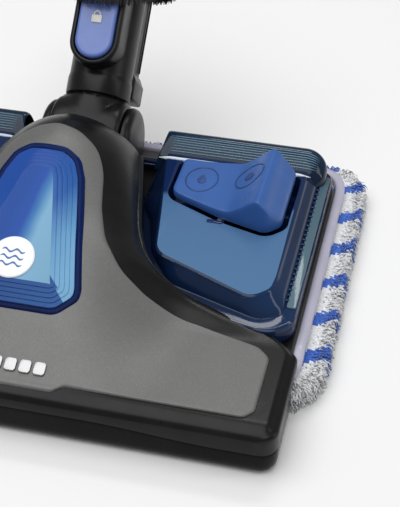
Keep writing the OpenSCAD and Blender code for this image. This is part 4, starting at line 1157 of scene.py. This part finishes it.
def build_ridge():
    """The ridge across the tank's rear: a dark bolster with pale ribs and a pale strip along its foot
    that is a painted highlight.
    """
    m = all_finishes()
    profile = [(173.0, 28.2), (173.6, 30), (175.0, 33.2), (176.6, 35.0), (178.0, 36.2)]
    profile += [(178.0 + 11 * t, 36.2 + 5.1 * t + 0.5 * math.sin(math.pi * t)) for t in
                (k / 14 for k in range(1, 15))]
    profile += [(190.6, 41.4), (192.4, 40.8), (193.8, 39.3), (194.7, 37.2), (194.95, 35),
                (194.95, 28.2)]
    x0, x1 = 39.7, 127

    stations = [(x0, 0.90), (x0 + 0.4, 0.965), (x0 + 1.2, 0.99), (x0 + 2.4, 1.0)]
    stations += [(x0 + 2.4 + (x1 - 12 - x0 - 2.4) * k / 30, 1.0) for k in range(1, 31)]
    stations += [(x1 - 12 + 12 * math.sin(a), 0.2 + 0.8 * math.cos(a)) for a in
                 (math.pi / 2 * k / 10 for k in range(1, 11))]
    for side in (1, -1):
        lines = []
        for x, f in stations:
            back = 3.8 * (1 - (x - x0) / (x1 - x0)) ** 6
            lines.append([
                at(side * (x - back * (1 - (z - 28.2) / 13.5)), 185 + (y - 185) * f,
                   28.2 + (z - 28.2) * f)
                for y, z in profile
            ])
        piece = lofted("tank_ridge_" + ("right" if side > 0 else "left"), len(lines), len(profile),
                       lambda j, i: lines[j][i])
        mesh = bmesh.new()
        mesh.from_mesh(piece.data)
        mesh.verts.ensure_lookup_table()
        bmesh.ops.holes_fill(mesh, edges=mesh.edges[:], sides=0)
        mesh.to_mesh(piece.data)
        mesh.free()
        recalc(piece)
        smooth(piece, 35)
        finish_piece(piece, "tank", m["ridge navy"], ["tank_ridge_trim"] if side > 0 else ())
        ribs = []
        count = bpy.context.scene.floor_head_sizes.ridge_ribs
        for k in range(count):
            t = 0.12 + 0.75 * k / max(1, count - 1)
            y = 178 + 11 * t
            z = 36.2 + 5.1 * t + 0.5 * math.sin(math.pi * t)
            end = x1 - 4 - 6 * (1 - math.sqrt(max(0, 1 - ((y - 185) / 12) ** 2)))

            def put(j, i, y=y, z=z, end=end):
                u = j / 24
                x = x0 + 3 + (end - x0 - 3) * u
                a = 2 * math.pi * i / 8
                bend = max(0, (x - (x1 - 12)) / 12)
                f = 1 - 0.45 * bend ** 2
                w = 0.36 * min(1, 20 * u + 0.05, 20 * (1 - u) + 0.05)
                yy = 185 + (y - 185) * f
                zz = 28.2 + (z - 28.2) * (0.2 + 0.8 * math.sqrt(max(0, 1 - bend ** 2)))
                return at(side * x, yy + w * math.cos(a), zz + 0.08 + w * math.sin(a))

            ribs.append(lofted("rib", 25, 9, put))
        comb = smooth(joined("ridge_ribs_" + ("right" if side > 0 else "left"), ribs), 60)
        finish_piece(comb, "tank", m["ridge rib"], ())

        # The pale strip along the ridge's foot is a painted highlight, not a part of the tank.
        def put_highlight_strip(j, i, side=side):
            u = j / 30
            x = x0 - 1.0 + (x1 - 6 - x0) * u
            a = 2 * math.pi * i / 10
            w = 1.4 * min(1, 12 * u + 0.1, 12 * (1 - u) + 0.1)
            return at(side * x, 174.1 + 0.8 * w * math.cos(a), 35.5 + w * math.sin(a))

        highlight_strip = smooth(lofted("ridge_highlight_strip_" + ("right" if side > 0 else "left"), 31, 11, put_highlight_strip), 60)
        finish_piece(highlight_strip, "tank", m["ridge painted highlight"], ())


rocker_curve = smooth_table([
    (54, 39.6), (62, 39.5), (72, 39.9), (81, 40.8), (85, 41.4), (92, 45.8), (98.5, 51.4), (101.2, 52.9),
    (103.6, 51.6), (108, 46.2), (113, 40.4),
])


def build_rocker():
    """The flow rocker with its two pads and a ridge to press on."""
    sizes = bpy.context.scene.floor_head_sizes
    m = all_finishes()
    line = rounded(ROCKER_PLAN, [2.5, 7, 14, 6, 8, 2.5], 7)
    centre = Vector((86, 150))
    line = ray_outline(line, centre, 288)

    def shrink(d):
        return [p + (centre - p).normalized() * d for p in line]

    levels = [(0.6, None, 35.2), (0.1, None, 35.6), (0, -3.0, 0), (0, -1.1, 0), (0.3, -0.45, 0),
              (0.9, -0.1, 0),
              (1.7, 0.0, 0)]
    outlines = []
    for d, drop, z in levels:
        pts = shrink(d)
        outlines.append([at(p.x, p.y, z if drop is None else max(35.7, rocker_curve(p.x) + drop))
                for p in pts])
    inner = shrink(1.7)
    for k in range(1, 41):
        t = k / 40
        outlines.append([at(q.x, q.y, rocker_curve(q.x)) for q in (p.lerp(centre,
                                                                          t * 0.998) for p in inner)])
    piece = rings("rocker_pad", outlines, (0, -1))
    smooth(piece, 28)
    finish_piece(piece, "rocker", m["rocker blue"], ["flow_rocker"])

    marks = []
    for cx, cy, share in ((67, 154, 1.0), (91.6, 154, 0.84)):
        def put(j, i, cx=cx, cy=cy, share=share):
            a = 2 * math.pi * j / 40
            b = 2 * math.pi * i / 8
            r = sizes.mark_radius / MM * share + 0.34 * math.cos(b)
            x, y = cx + r * math.cos(a), cy + 1.28 * r * math.sin(a)
            return at(x, y, rocker_curve(x) + 0.12 + 0.3 * math.sin(b))
        marks.append(lofted("ring", 41, 9, put))
        drop = []
        for k in range(28):
            a = 2 * math.pi * k / 28
            u = (1 + math.cos(a)) / 2
            drop.append(Vector((cx + 2.6 * math.sin(a) * (1 - u ** 2.2), cy - 3.4 + 7.6 * u)))
        tall = [[at(p.x, p.y, rocker_curve(p.x) + h) for p in drop] for h in (-0.1, 0.28)]
        small = [Vector((cx, cy)) + (p - Vector((cx, cy))) * 0.7 for p in drop]
        tall.append([at(p.x, p.y, rocker_curve(p.x) + 0.4) for p in small])
        marks.append(rings("drop", tall, (0, -1)))
    icons = smooth(joined("rocker_marks", marks), 50)
    finish_piece(icons, "rocker", m["icon blue"], ["rocker_icons"])


def build_cap():
    """The round filler cap with its hinge lug and finger tab."""
    m = all_finishes()

    def put(x, y, z):
        return at(-88 + x, 128 + y, z)

    top = [(0.01, 37.3), (13.2, 37.3), (13.8, 37.6), (14.0, 38.2), (14.0, 39.6), (13.7, 40.5),
           (12.9, 41.0),
           (11.9, 41.15), (11.0, 41.0), (10.4, 40.3), (9.6, 40.05), (0.01, 40.05)]
    lid = lathe("cap_lid", top, put, 96, True)
    skirt = lathe("cap_skirt", [(8.6, 33.5), (10.2, 33.5), (10.4, 33.8), (10.4, 37.6), (8.6, 37.6)],
                  put, 64, True)
    grip = bar("cap_grip", (-1.4, -8.4, 39.9), (1.4, 8.4, 41.1), put, 0.55)
    lug = bar("cap_lug", (-4.4, 12.5, 37.5), (4.4, 20.2, 40.9), put, 1.0)
    tab = bar("cap_tab", (-4.2, -16.4, 37.5), (4.2, -12.5, 39.2), put, 0.7)
    grips = []
    for k in range(36):
        a = 2 * math.pi * k / 36
        if abs(math.sin(a)) > 0.93:
            continue
        grips.append(bar("rib", (-0.35, -0.35, 38.2), (0.35, 0.35, 40.3),
                         lambda x, y, z, a=a: put(14.02 * math.cos(a) + x, 14.02 * math.sin(a) + y, z),
                         0.2, 2))
    piece = smooth(joined("cap", [lid, skirt, grip, lug, tab] + grips), 35)
    finish_piece(piece, "cap", m["cap blue"], ["filler_cap"])


# ---- Mop ----

def mop_line(half, y0, y1, r, count):
    """A rounded rectangle as even points, starting at the middle of its front."""
    pts = rounded([(half, y0), (half, y1), (-half, y1), (-half, y0)], r, 14)
    front = [Vector((0, y0))] + pts[0:]
    return even_outline(front, count)


def build_rim():
    """The pale tray that holds the pad: a floor and a raised round rim."""
    m = all_finishes()
    count = 320
    rows = [(0.6, 12.1), (0.1, 12.4), (0, 13.2), (0, 15.6), (0.2, 16.4), (0.8, 16.9), (2.5, 17.0),
            (4.2, 16.9),
            (4.8, 16.4), (5.0, 15.6), (5.0, 13.2), (4.7, 12.1)]
    outlines = []
    for d, z in rows:
        pts = mop_line(136.5 - d, 38.5 + d, 213 - d, max(4, 22 - d), count)
        outlines.append([
            at(p.x, p.y, 12.1 + (z - 12.1) * (0.5 + 0.5 * ease(58, 66, p.y))) for p in pts
        ])
    outlines.append(outlines[0])
    piece = rings("mop_tray_rim", outlines, ())
    smooth(piece, 38)
    finish_piece(piece, "mop", m["rim lavender"], ["mop_rim"])


def padded_base(m):
    """The pad's soft body, puffed by a short cloth run."""
    count = 150
    rows = [(9, 0.5), (4.0, 0.7), (1.6, 1.8), (0.5, 4), (0.5, 7), (1.4, 9.6), (4.0, 11.2), (9, 11.5)]
    outlines = []
    for d, z in rows:
        pts = mop_line(145.5 - d, 39.5 + d, 221 - d, max(6, 24 - d), count)
        outlines.append([at(p.x, p.y, z) for p in pts])
    piece = rings("pad_core", outlines, (0, -1))
    apply_modifier(piece, "REMESH", mode="VOXEL", voxel_size=0.0048)
    before = [v.co.copy() for v in piece.data.vertices]
    group = piece.vertex_groups.new(name="held")
    for v in piece.data.vertices:
        deep = v.co.z > 0.010 or v.co.z < 0.0012
        group.add([v.index], 1.0 if deep else 0.0, "REPLACE")
    deselect()
    bpy.context.view_layer.objects.active = piece
    piece.select_set(True)
    bpy.ops.object.modifier_add(type="CLOTH")
    cloth = piece.modifiers[-1]
    cloth.settings.use_pressure = True
    cloth.settings.uniform_pressure_force = 4
    cloth.settings.effector_weights.gravity = 0
    cloth.settings.tension_stiffness = 12
    cloth.settings.compression_stiffness = 12
    cloth.settings.shear_stiffness = 8
    cloth.settings.vertex_group_mass = "held"
    cloth.point_cache.frame_start = 1
    cloth.point_cache.frame_end = 20
    for f in range(1, 21):
        bpy.context.scene.frame_set(f)
    bpy.ops.object.modifier_apply(modifier=cloth.name)
    bpy.context.scene.frame_set(1)
    for v, old in zip(piece.data.vertices, before):
        move = v.co - old
        if move.length > 0.0015:
            v.co = old + move.normalized() * 0.0015
    piece.vertex_groups.clear()
    apply_modifier(piece, "SMOOTH", factor=0.5, iterations=3)
    apply_modifier(piece, "SUBSURF", levels=1, render_levels=1)
    for v in piece.data.vertices:
        v.co.z = min(0.0116, max(0.0004, v.co.z))
    smooth(piece, 70)
    for face in piece.data.polygons:
        face.material_index = band_shade(face.center.x / MM, (face.center.y - FRONT_Y) / MM)
    finish_piece(piece, "mop", [m["yarn white"], m["yarn blue"]], ["mop_pad"])


def pile_loop(mesh, root, out, length, rise, swing, thick, shade):
    """One tuft of twisted yarn: a tapering round strand that leans out and over."""
    side = Vector((-out.y, out.x, 0))
    sections = 6
    rings_made = []
    for k in range(sections + 1):
        t = k / sections
        along = length * math.sin(t * 1.45)
        up = rise * math.sin(min(1, t * 1.25) * math.pi) - 0.35 * length * t * t
        centre = root + out * along + side * (swing * t) + Vector((0, 0, up))
        w = thick * (1.0 + 0.22 * math.sin(t * 9 + swing)) * (1 - 0.55 * t ** 3)
        twist = t * 3.5 + swing
        rings_made.append([
            mesh.verts.new((centre + side * (w * math.cos(a + twist)) + Vector((0, 0, w * math.sin(a
                    + twist)))) * MM)
            for a in (0, 1.571, 3.142, 4.712)
        ])
    for a, b in zip(rings_made, rings_made[1:]):
        for q in range(4):
            mesh.faces.new([a[q], a[(q + 1) % 4], b[(q + 1) % 4], b[q]]).material_index = shade
    mesh.faces.new(list(reversed(rings_made[-1]))).material_index = shade
    mesh.faces.new(rings_made[0]).material_index = shade


def band_shade(x, y):
    """Blue or white yarn: slanting bands across the pad."""
    sizes = bpy.context.scene.floor_head_sizes
    turned = (y - 0.85 * x) / (sizes.band_pitch / MM)
    return 1 if (turned % 1.0) < sizes.band_share else 0


def yarn_shade(x, y, rng):
    """The band's yarn, with darker strands mixed in as painted shade between the tufts."""
    return band_shade(x + rng.uniform(-0.8, 0.8),
                      y + rng.uniform(-0.8, 0.8)) + (2 if rng.random() < 0.15 else 0)


def build_pile():
    """Tufts of twisted yarn all round the pad and across the part that shows."""
    m = all_finishes()
    sizes = bpy.context.scene.floor_head_sizes
    padded_base(m)
    rng = random.Random(5)
    low = FRONT_Y / MM
    for name, strands in (("pad_fringe_low", "edge"), ("pad_fringe_high", "edge"),
                          ("pad_top_pile", "top"),
                          ("pad_top_fluff", "top"), ("pad_sole_pile", "sole")):
        mesh = bmesh.new()
        if strands == "edge":
            line = mop_line(143.0, 42.0, 218.5, 23, sizes.fringe_tufts)
            for k, p in enumerate(line):
                q = line[(k + 1) % len(line)]
                t = (q - p).normalized()
                out = Vector((t.y, -t.x, 0))
                for row in (0, 1):
                    z = (1.6 if name.endswith("low") else 6.6) + row * 2.5 + rng.uniform(-0.8, 0.8)
                    if rng.random() < 0.08:
                        continue
                    root = Vector((p.x + rng.uniform(-0.7, 0.7), p.y + low + rng.uniform(-0.7, 0.7), z))
                    pile_loop(mesh, root, out, rng.uniform(2.6, 5.5), rng.uniform(-0.5, 1.0),
                              rng.uniform(-2.4, 2.4), rng.uniform(0.36, 0.62),
                              yarn_shade(p.x, p.y, rng))
        elif strands == "top":
            for _ in range(sizes.top_tufts // 2):
                d = rng.uniform(0.4, 9.5)
                line_at = rng.random()
                p = pad_edge_at(line_at)
                q = pad_edge_at((line_at + 0.0008) % 1)
                t = (q - p).normalized()
                out = Vector((t.y, -t.x, 0))
                spot = Vector((p.x, p.y, 0)) - out * d
                root = Vector((spot.x, spot.y + low, 9.8 + rng.uniform(-0.6, 0.2)))
                pile_loop(mesh, root, out, rng.uniform(1.8, 3.6), rng.uniform(0.5, 1.3),
                          rng.uniform(-2.6, 2.6),
                          rng.uniform(0.34, 0.55), yarn_shade(spot.x, spot.y, rng))
        else:
            for j in range(30):
                for i in range(52):
                    x = -135 + 270 * (i + 0.5 * (j % 2)) / 52 + rng.uniform(-1, 1)
                    y = 47 + 167 * j / 29 + rng.uniform(-1, 1)
                    a = rng.uniform(0, 6.28)
                    root = Vector((x, y + low, 1.3))
                    pile_loop(mesh, root, Vector((math.cos(a), math.sin(a), 0)), rng.uniform(3.4, 5.2),
                              0.1,
                              rng.uniform(-2, 2), rng.uniform(0.7, 0.85), yarn_shade(x, y, rng))
        for v in mesh.verts:
            v.co.z = max(0.0002, v.co.z)
        bmesh.ops.recalc_face_normals(mesh, faces=mesh.faces[:])
        deselect()
        bpy.ops.mesh.primitive_plane_add()
        piece = adopt(name)
        mesh.to_mesh(piece.data)
        mesh.free()
        for polygon in piece.data.polygons:
            polygon.use_smooth = True
        finish_piece(piece, "mop", [m["yarn white"], m["yarn blue"], m["yarn painted shade grey"],
                                    m["yarn painted shade blue"]], ())


def pad_edge_at(t):
    """A point on the pad's upper edge at a fraction of the way round."""
    n = len(PAD_EDGE)
    k = t * n
    i = int(k) % n
    return PAD_EDGE[i].lerp(PAD_EDGE[(i + 1) % n], k - int(k))


PAD_EDGE = mop_line(146.0, 39.0, 221.5, 24, 600)


# ---- Stage ----

def build_stage():
    """The pale floor, soft light and the camera."""
    look = bpy.context.scene.floor_head_look
    deselect()
    bpy.ops.mesh.primitive_plane_add(size=6, location=(0, 0, 0))
    floor = adopt("floor")
    material = finish("floor white", (0.9, 0.9, 0.9), 0.8, specular=0.1)
    floor.data.materials.append(material)
    world = bpy.context.scene.world or bpy.data.worlds.new("studio")
    bpy.context.scene.world = world
    world.use_nodes = True
    background = world.node_tree.nodes["Background"]
    background.inputs["Color"].default_value = (1.0, 1.0, 1.0, 1)
    background.inputs["Strength"].default_value = 0.29
    bpy.context.scene.view_settings.view_transform = "Standard"

    def lamp(name, place, aim, size, power, size_y=None):
        deselect()
        bpy.ops.object.light_add(type="AREA", location=place)
        light = bpy.context.object
        light.name = name
        light.data.shape = "RECTANGLE"
        light.data.size = size
        light.data.size_y = size_y or size
        light.data.energy = power
        light.rotation_euler = (Vector(aim) - Vector(place)).to_track_quat("-Z", "Y").to_euler()

    lamp("key_light", (-0.2, -0.3, 1.4), (0.0, 0.0, 0.02), 1.9, look.key_power, 1.3)
    lamp("rim_light", (0.1, 0.6, 1.0), (0.0, 0.0, 0.05), 0.5, 2.2, 0.16)
    lamp("right_light", (1.1, 0.15, 0.55), (0.05, 0.0, 0.02), 0.2, 1.4, 0.8)

    eye, target = at(187.2, -360.8, 418.9), at(74.2, 118.7, 20.0)
    deselect()
    bpy.ops.object.camera_add(location=eye)
    camera = bpy.context.object
    camera.name = "camera"
    camera.data.sensor_fit = "VERTICAL"
    camera.data.sensor_height = 36
    camera.data.lens = 1270 / 507 * 36
    camera.data.clip_start = 0.01
    camera.rotation_euler = (target - eye).to_track_quat("-Z", "Y").to_euler()
    bpy.context.scene.camera = camera


# ---- Add-on ----

class FloorHeadSizes(bpy.types.PropertyGroup):
    """Sizes of the visible pieces that may be changed."""

    badge_radius: bpy.props.FloatProperty(
        name="Badge Radius", description="Radius of the round badge in the window",
        default=0.0106, min=0.006, max=0.011, subtype="DISTANCE", unit="LENGTH")
    mark_radius: bpy.props.FloatProperty(
        name="Mark Radius", description="Radius of the ring marks on the rocker",
        default=0.0082, min=0.004, max=0.0095, subtype="DISTANCE", unit="LENGTH")
    band_pitch: bpy.props.FloatProperty(
        name="Band Pitch", description="Distance from one blue band of yarn to the next",
        default=0.0272, min=0.01, max=0.06, subtype="DISTANCE", unit="LENGTH")
    band_share: bpy.props.FloatProperty(
        name="Band Share", description="Share of the yarn that is blue",
        default=0.31, min=0.0, max=1.0, subtype="FACTOR")
    ridge_ribs: bpy.props.IntProperty(
        name="Ridge Ribs", description="Pale ribs along the tank's ridge", default=7, min=1, max=10)
    fringe_tufts: bpy.props.IntProperty(
        name="Fringe Tufts", description="Places round the pad where rows of tufts start",
        default=1900, min=200, max=2600)
    top_tufts: bpy.props.IntProperty(
        name="Top Tufts", description="Tufts on the part of the pad's top that shows",
        default=7000, min=500, max=7400)


class FloorHeadLook(bpy.types.PropertyGroup):
    """Colours of the finishes and the strength of the light."""

    shell_colour: bpy.props.FloatVectorProperty(
        name="Shell", description="Colour of the black shell", size=3, subtype="COLOR",
        default=(0.0055, 0.0055, 0.006), min=0, max=1)
    panel_colour: bpy.props.FloatVectorProperty(
        name="Panel", description="Colour of the satin panel", size=3, subtype="COLOR",
        default=(0.165, 0.164, 0.162), min=0, max=1)
    window_colour: bpy.props.FloatVectorProperty(
        name="Window Deep", description="Deep blue of the window", size=3, subtype="COLOR",
        default=(0.020, 0.075, 0.33), min=0, max=1)
    # Colour of a painted highlight on the window.
    window_painted_highlight: bpy.props.FloatVectorProperty(
        name="Window Glow", description="Light blue where the window catches the light", size=3,
        subtype="COLOR", default=(0.21, 0.42, 0.60), min=0, max=1)
    rocker_colour: bpy.props.FloatVectorProperty(
        name="Rocker", description="Colour of the flow rocker", size=3, subtype="COLOR",
        default=(0.037, 0.115, 0.37), min=0, max=1)
    rim_colour: bpy.props.FloatVectorProperty(
        name="Tray Rim", description="Colour of the mop tray's rim", size=3, subtype="COLOR",
        default=(0.46, 0.45, 0.56), min=0, max=1)
    yarn_white: bpy.props.FloatVectorProperty(
        name="White Yarn", description="Colour of the white yarn", size=3, subtype="COLOR",
        default=(0.90, 0.91, 0.92), min=0, max=1)
    yarn_blue: bpy.props.FloatVectorProperty(
        name="Blue Yarn", description="Colour of the blue yarn", size=3, subtype="COLOR",
        default=(0.03, 0.16, 0.70), min=0, max=1)
    key_power: bpy.props.FloatProperty(
        name="Key Light", description="Power of the large soft light", default=18.0, min=0.0, max=100.0,
        subtype="POWER", unit="POWER")


class FLOORHEAD_OT_housing(bpy.types.Operator):
    """Builds the black shell of the head"""

    bl_idname = "floorhead.housing"
    bl_label = "Housing"

    def execute(self, context):
        build_housing()
        return {"FINISHED"}


class FLOORHEAD_OT_panel(bpy.types.Operator):
    """Builds the satin metallic panel and its raised strip"""

    bl_idname = "floorhead.panel"
    bl_label = "Satin Panel"

    def execute(self, context):
        build_panel()
        return {"FINISHED"}


class FLOORHEAD_OT_window(bpy.types.Operator):
    """Builds the blue window with its terraces and badge"""

    bl_idname = "floorhead.window"
    bl_label = "Window"

    def execute(self, context):
        build_window()
        return {"FINISHED"}


class FLOORHEAD_OT_bumper(bpy.types.Operator):
    """Builds the bumper and finishes the small parts below it"""

    bl_idname = "floorhead.bumper"
    bl_label = "Bumper"

    def execute(self, context):
        build_bumper()
        return {"FINISHED"}


class FLOORHEAD_OT_yoke(bpy.types.Operator):
    """Builds the domed ears that hold the elbow"""

    bl_idname = "floorhead.yoke"
    bl_label = "Yoke"

    def execute(self, context):
        build_yoke()
        return {"FINISHED"}


class FLOORHEAD_OT_elbow(bpy.types.Operator):
    """Builds the tilting elbow with its pin and sleeve"""

    bl_idname = "floorhead.elbow"
    bl_label = "Elbow"

    def execute(self, context):
        build_elbow()
        return {"FINISHED"}


class FLOORHEAD_OT_neck(bpy.types.Operator):
    """Builds the swivelling tube, its rail and the lock boss"""

    bl_idname = "floorhead.neck"
    bl_label = "Neck Tube"

    def execute(self, context):
        build_neck_tube()
        return {"FINISHED"}


class FLOORHEAD_OT_lock(bpy.types.Operator):
    """Builds the lock button and its padlock mark"""

    bl_idname = "floorhead.lock"
    bl_label = "Lock Button"

    def execute(self, context):
        build_lock_button()
        return {"FINISHED"}


class FLOORHEAD_OT_brush(bpy.types.Operator):
    """Builds the sliding dust brush and its bristles"""

    bl_idname = "floorhead.brush"
    bl_label = "Dust Brush"

    def execute(self, context):
        build_dust_brush()
        return {"FINISHED"}


class FLOORHEAD_OT_tank(bpy.types.Operator):
    """Builds the water tank's two lobes"""

    bl_idname = "floorhead.tank"
    bl_label = "Tank"

    def execute(self, context):
        build_tank()
        return {"FINISHED"}


class FLOORHEAD_OT_ridge(bpy.types.Operator):
    """Builds the ribbed ridge across the tank"""

    bl_idname = "floorhead.ridge"
    bl_label = "Ridge"

    def execute(self, context):
        build_ridge()
        return {"FINISHED"}


class FLOORHEAD_OT_rocker(bpy.types.Operator):
    """Builds the flow rocker and its marks"""

    bl_idname = "floorhead.rocker"
    bl_label = "Rocker"

    def execute(self, context):
        build_rocker()
        return {"FINISHED"}


class FLOORHEAD_OT_cap(bpy.types.Operator):
    """Builds the filler cap"""

    bl_idname = "floorhead.cap"
    bl_label = "Filler Cap"

    def execute(self, context):
        build_cap()
        return {"FINISHED"}


class FLOORHEAD_OT_rim(bpy.types.Operator):
    """Builds the pale rim of the mop tray"""

    bl_idname = "floorhead.rim"
    bl_label = "Tray Rim"

    def execute(self, context):
        build_rim()
        return {"FINISHED"}


class FLOORHEAD_OT_pad(bpy.types.Operator):
    """Builds the padded mop with its twisted pile"""

    bl_idname = "floorhead.pad"
    bl_label = "Mop Pad"

    def execute(self, context):
        build_pile()
        return {"FINISHED"}


class FLOORHEAD_OT_stage(bpy.types.Operator):
    """Adds the floor, the lights and the camera"""

    bl_idname = "floorhead.stage"
    bl_label = "Stage"

    def execute(self, context):
        build_stage()
        return {"FINISHED"}


PIECES = (
    FLOORHEAD_OT_housing,
    FLOORHEAD_OT_panel,
    FLOORHEAD_OT_window,
    FLOORHEAD_OT_bumper,
    FLOORHEAD_OT_yoke,
    FLOORHEAD_OT_elbow,
    FLOORHEAD_OT_neck,
    FLOORHEAD_OT_lock,
    FLOORHEAD_OT_brush,
    FLOORHEAD_OT_tank,
    FLOORHEAD_OT_ridge,
    FLOORHEAD_OT_rocker,
    FLOORHEAD_OT_cap,
    FLOORHEAD_OT_rim,
    FLOORHEAD_OT_pad,
    FLOORHEAD_OT_stage,
)


class FLOORHEAD_PT_panel(bpy.types.Panel):
    """Lists the pieces and the values they are built with."""

    bl_idname = "FLOORHEAD_PT_panel"
    bl_label = "Floor Head"
    bl_space_type = "VIEW_3D"
    bl_region_type = "UI"
    bl_category = "Floor Head"

    def draw(self, context):
        for group in (context.scene.floor_head_sizes, context.scene.floor_head_look):
            column = self.layout.column(align=True)
            for key in group.__annotations__:
                column.prop(group, key)
        column = self.layout.column(align=True)
        for piece in PIECES:
            column.operator(piece.bl_idname)


CLASSES = (FloorHeadSizes, FloorHeadLook, *PIECES, FLOORHEAD_PT_panel)


def register():
    for cls in CLASSES:
        bpy.utils.register_class(cls)
    bpy.types.Scene.floor_head_sizes = bpy.props.PointerProperty(type=FloorHeadSizes)
    bpy.types.Scene.floor_head_look = bpy.props.PointerProperty(type=FloorHeadLook)


def unregister():
    del bpy.types.Scene.floor_head_look
    del bpy.types.Scene.floor_head_sizes
    for cls in reversed(CLASSES):
        bpy.utils.unregister_class(cls)


def main():
    """Registers the add-on and builds every piece in order."""
    register()
    bpy.ops.floorhead.housing()
    bpy.ops.floorhead.panel()
    bpy.ops.floorhead.window()
    bpy.ops.floorhead.bumper()
    bpy.ops.floorhead.yoke()
    bpy.ops.floorhead.elbow()
    bpy.ops.floorhead.neck()
    bpy.ops.floorhead.lock()
    bpy.ops.floorhead.brush()
    bpy.ops.floorhead.tank()
    bpy.ops.floorhead.ridge()
    bpy.ops.floorhead.rocker()
    bpy.ops.floorhead.cap()
    bpy.ops.floorhead.rim()
    bpy.ops.floorhead.pad()
    bpy.ops.floorhead.stage()


if __name__ == "__main__":
    main()
